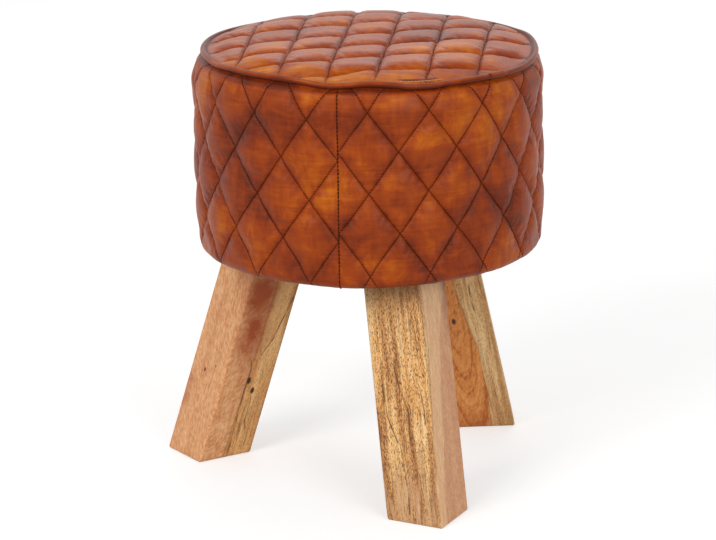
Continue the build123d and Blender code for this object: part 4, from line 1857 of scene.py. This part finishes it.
def make_dust_cover():
    """The black cloth, stretched flat under the seat, and its area in square metres."""
    spots, faces = cloth_plan()
    where = np.stack([spots[:, 0], spots[:, 1], np.zeros(len(spots))], axis=1)
    inner = fade(reach_of(spots), 120, 146)
    sag = cloth_sag * inner * (0.5 + 0.5 * swell(where, 60.0))
    upper = np.stack([spots[:, 0], spots[:, 1], cloth_top - sag], axis=1)
    lower = upper - (0, 0, cloth_thickness)
    count = len(upper)
    closed = faces + [tuple(count + spot for spot in reversed(face)) for face in faces]
    sides = {pair: True for face in faces for pair in zip(face, face[1:] + face[:1])}
    for here, there in sides:
        if (there, here) not in sides:
            closed.append((there, here, count + here, count + there))
    area = 0.0
    for face in faces:
        one, two, three = spots[list(face)]
        area += abs(np.cross(two - one, three - one)) / 2
    points = np.concatenate([upper, lower])
    return make_piece("dust_cloth", points, closed, make_cloth_finish()), area * 1e-6


cloth_piece, cloth_area = make_dust_cover()

# Foam

foam_finish = make_plain_finish(
    "foam_block", colour(214, 200, 140), colour(240, 230, 180), even_noise(300.0), 0.9, bump=0.8
)
foam_swell = UnevenField(14)
foam_bottom = 398.0
# From the middle of the under side round the edge, as radius and height
top_foam_outline = [
    (80.0, foam_bottom),
    (152.0, foam_bottom),
    (158.5, 398.4),
    (159.7, 401.0),
    (159.8, 416.0),
    (159.2, 423.0),
    (156.0, 427.0),
    (152.0, 429.2),
    (146.0, 430.4),
    (138.0, 431.4),
    (130.0, 432.5),
    (118.0, 433.6),
    (100.0, top_lining_height),
    (60.0, top_lining_height),
]


def make_top_foam():
    """The round foam block under the top, drawn in a little at its upper edge."""
    segments = 180
    unevenness, least, most = 0.25, 398.5, 433.9
    angles = np.linspace(0, tau, segments, endpoint=False)
    points = [(0.0, 0.0, foam_bottom)]
    for radius, height in top_foam_outline:
        ring = np.stack([*along_circle(radius, angles), np.full(segments, height)], axis=1)
        soft = unevenness * (foam_swell(ring, 20.0) - 1) * (least < height < most)
        ring[:, :2] *= (1 + soft / 160)[:, None]
        points += list(ring)
    points = pulled(np.array([*points, (0.0, 0.0, top_lining_height)]))
    last = 1 + (len(top_foam_outline) - 1) * segments
    faces = []
    for turn, onward in loop_edges(0, segments):
        faces.append((0, 1 + onward, 1 + turn))
        for low in range(1, last, segments):
            high = low + segments
            faces.append((low + turn, low + onward, high + onward, high + turn))
        faces.append((last + turn, last + onward, len(points) - 1))
    return make_piece("foam_top", points, faces, foam_finish)


top_foam_piece = make_top_foam()
side_foam_outline = [
    (160.2, 250.5),
    (165.0, 250.5),
    (165.2, 254.0),
    (165.2, 330.0),
    (165.2, 410.0),
    (164.6, 413.6),
    (160.8, 413.7),
    (160.2, 411.0),
    (160.2, 330.0),
]
side_foam_segments = 240
side_foam_piece = turned_ring("foam_side", side_foam_outline, side_foam_segments, foam_finish)

# Finishes of the parts that stay as the frame has them

plywood = make_plain_finish(
    "plywood", colour(178, 140, 92), colour(214, 182, 132), (9.0, 60.0, 620.0), 0.7
)
softwood = make_plain_finish(
    "softwood", colour(200, 158, 104), colour(228, 194, 142), (240.0, 240.0, 9.0), 0.65
)
hoop_fibre = make_plain_finish(
    "hoop_fibre", colour(122, 92, 62), colour(150, 118, 84), even_noise(260.0), 0.8
)
zinc = make_plain_finish(
    "zinc_steel",
    colour(176, 178, 182),
    colour(206, 208, 212),
    even_noise(420.0),
    0.38,
    metallic=1.0,
    bump=0.1,
)
staple_wire = make_plain_finish(
    "staple_wire",
    colour(160, 160, 162),
    colour(200, 200, 202),
    even_noise(500.0),
    0.3,
    metallic=1.0,
    bump=0.1,
)
kept_finishes = {
    "base_board": plywood,
    "top_board": plywood,
    "drum_posts": softwood,
    "drum_hoop": hoop_fibre,
    "post_screws": zinc,
    "leg_screws": zinc,
    "leg_washers": zinc,
    "hem_staples": staple_wire,
    "dust_cover_staples": staple_wire,
}
for node, finish in kept_finishes.items():
    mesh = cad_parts[node].data
    mesh.materials.clear()
    mesh.materials.append(finish)

# Each piece rides on the stool, and where it stands for a part, that part's own mesh is hidden

for name, piece in band_pieces.items():
    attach(piece, "root")
    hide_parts(name)
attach(top_piece, "root")
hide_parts("top_panel")
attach(welt_piece, "root")
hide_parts("piping_cover")
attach(cord_piece, "root")
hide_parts("piping_cord")
for name, piece in leg_pieces.items():
    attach(piece, "root")
    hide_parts(name)
for piece in [*stitch_pieces, seam_piece, gap_piece]:
    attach(piece, "root")
for piece, node in ((top_foam_piece, "top_foam"), (side_foam_piece, "side_foam")):
    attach(piece, "root")
    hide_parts(node)
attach(cloth_piece, "root")
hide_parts("dust_cover")

# The floor, the light and the camera


def make_floor():
    """A pale floor that reads white to the camera and still takes a shadow."""
    finish = bpy.data.materials.new("pale_floor")
    finish.use_nodes = True
    wiring = Wiring(finish.node_tree)
    finish.node_tree.nodes.clear()
    seen = wiring.add("ShaderNodeLightPath").outputs
    ray = wiring.math("MAXIMUM", seen["Is Camera Ray"], seen["Is Glossy Ray"])
    plain = wiring.add("ShaderNodeBsdfDiffuse", {"Color": (0.62, 0.62, 0.62, 1)}).outputs[0]
    glow = wiring.add(
        "ShaderNodeEmission",
        {"Color": (1, 1, 1, 1), "Strength": wiring.math("MULTIPLY", ray, 0.5)},
    ).outputs[0]
    both = wiring.add("ShaderNodeAddShader", {0: plain, 1: glow}).outputs[0]
    wiring.add("ShaderNodeOutputMaterial", {"Surface": both})
    reach = 9000.0
    corners = [(-reach, -reach, 0), (reach, -reach, 0), (reach, reach, 0), (-reach, reach, 0)]
    floor = make_piece("floor", corners, [(0, 1, 2, 3)], finish, smooth=False)


def make_world():
    """A white surround that lights the object softly."""
    around = 0.52  # the strength of its light where it isn't seen straight or in a mirror
    world = bpy.data.worlds.new("studio")
    world.use_nodes = True
    bpy.context.scene.world = world
    wiring = Wiring(world.node_tree)
    back = world.node_tree.nodes["Background"]
    seen = wiring.add("ShaderNodeLightPath").outputs
    straight = wiring.math("MAXIMUM", seen["Is Camera Ray"], seen["Is Glossy Ray"])
    straight = wiring.math("MAXIMUM", straight, seen["Is Transmission Ray"])
    back.inputs["Color"].default_value = (1, 1, 1, 1)
    strength = wiring.between(straight, 0.0, 1.0, around, 1.0, smooth=False)
    wiring.feed(back.inputs["Strength"], strength)


def add_lamp(name, place, size, power):
    """A square soft lamp that faces the middle of the stool."""
    lamp = bpy.data.lights.new(name, "AREA")
    lamp.shape = "SQUARE"
    lamp.size = size
    lamp.energy = power
    holder = new_object(name, lamp)
    holder.location = place
    middle = Vector((0, 0, 0.25))
    aim = middle - Vector(place)
    holder.rotation_euler = aim.to_track_quat("-Z", "Y").to_euler()


def add_camera():
    """The camera at the photograph's angle."""
    elevation, roll, distance = radians(16.52), radians(-0.87), 3.805
    back = Vector((0, -cos(elevation), sin(elevation)))
    target = Vector((-0.01324, 0, 0.2028))
    right = Vector((1, 0, 0))
    up = back.cross(right)
    side = right * cos(roll) + up * sin(roll)
    top = up * cos(roll) - right * sin(roll)
    data = bpy.data.cameras.new("camera")
    data.sensor_width = 36.0
    data.lens = 189.42
    data.clip_end = 100.0
    camera = new_object("camera", data)
    turned = Matrix((side, top, back)).transposed().to_4x4()
    turned.translation = target + back * distance
    camera.matrix_world = turned
    bpy.context.scene.camera = camera


make_floor()
make_world()
add_lamp("key_lamp", (-1.9, -2.4, 2.1), size=1.5, power=53.0)
add_lamp("fill_lamp", (1.6, -2.7, 1.4), size=1.6, power=35.0)
add_lamp("back_lamp", (0.3, 2.2, 2.4), size=2.0, power=18.0)
add_camera()
bpy.context.scene.view_settings.view_transform = "Standard"
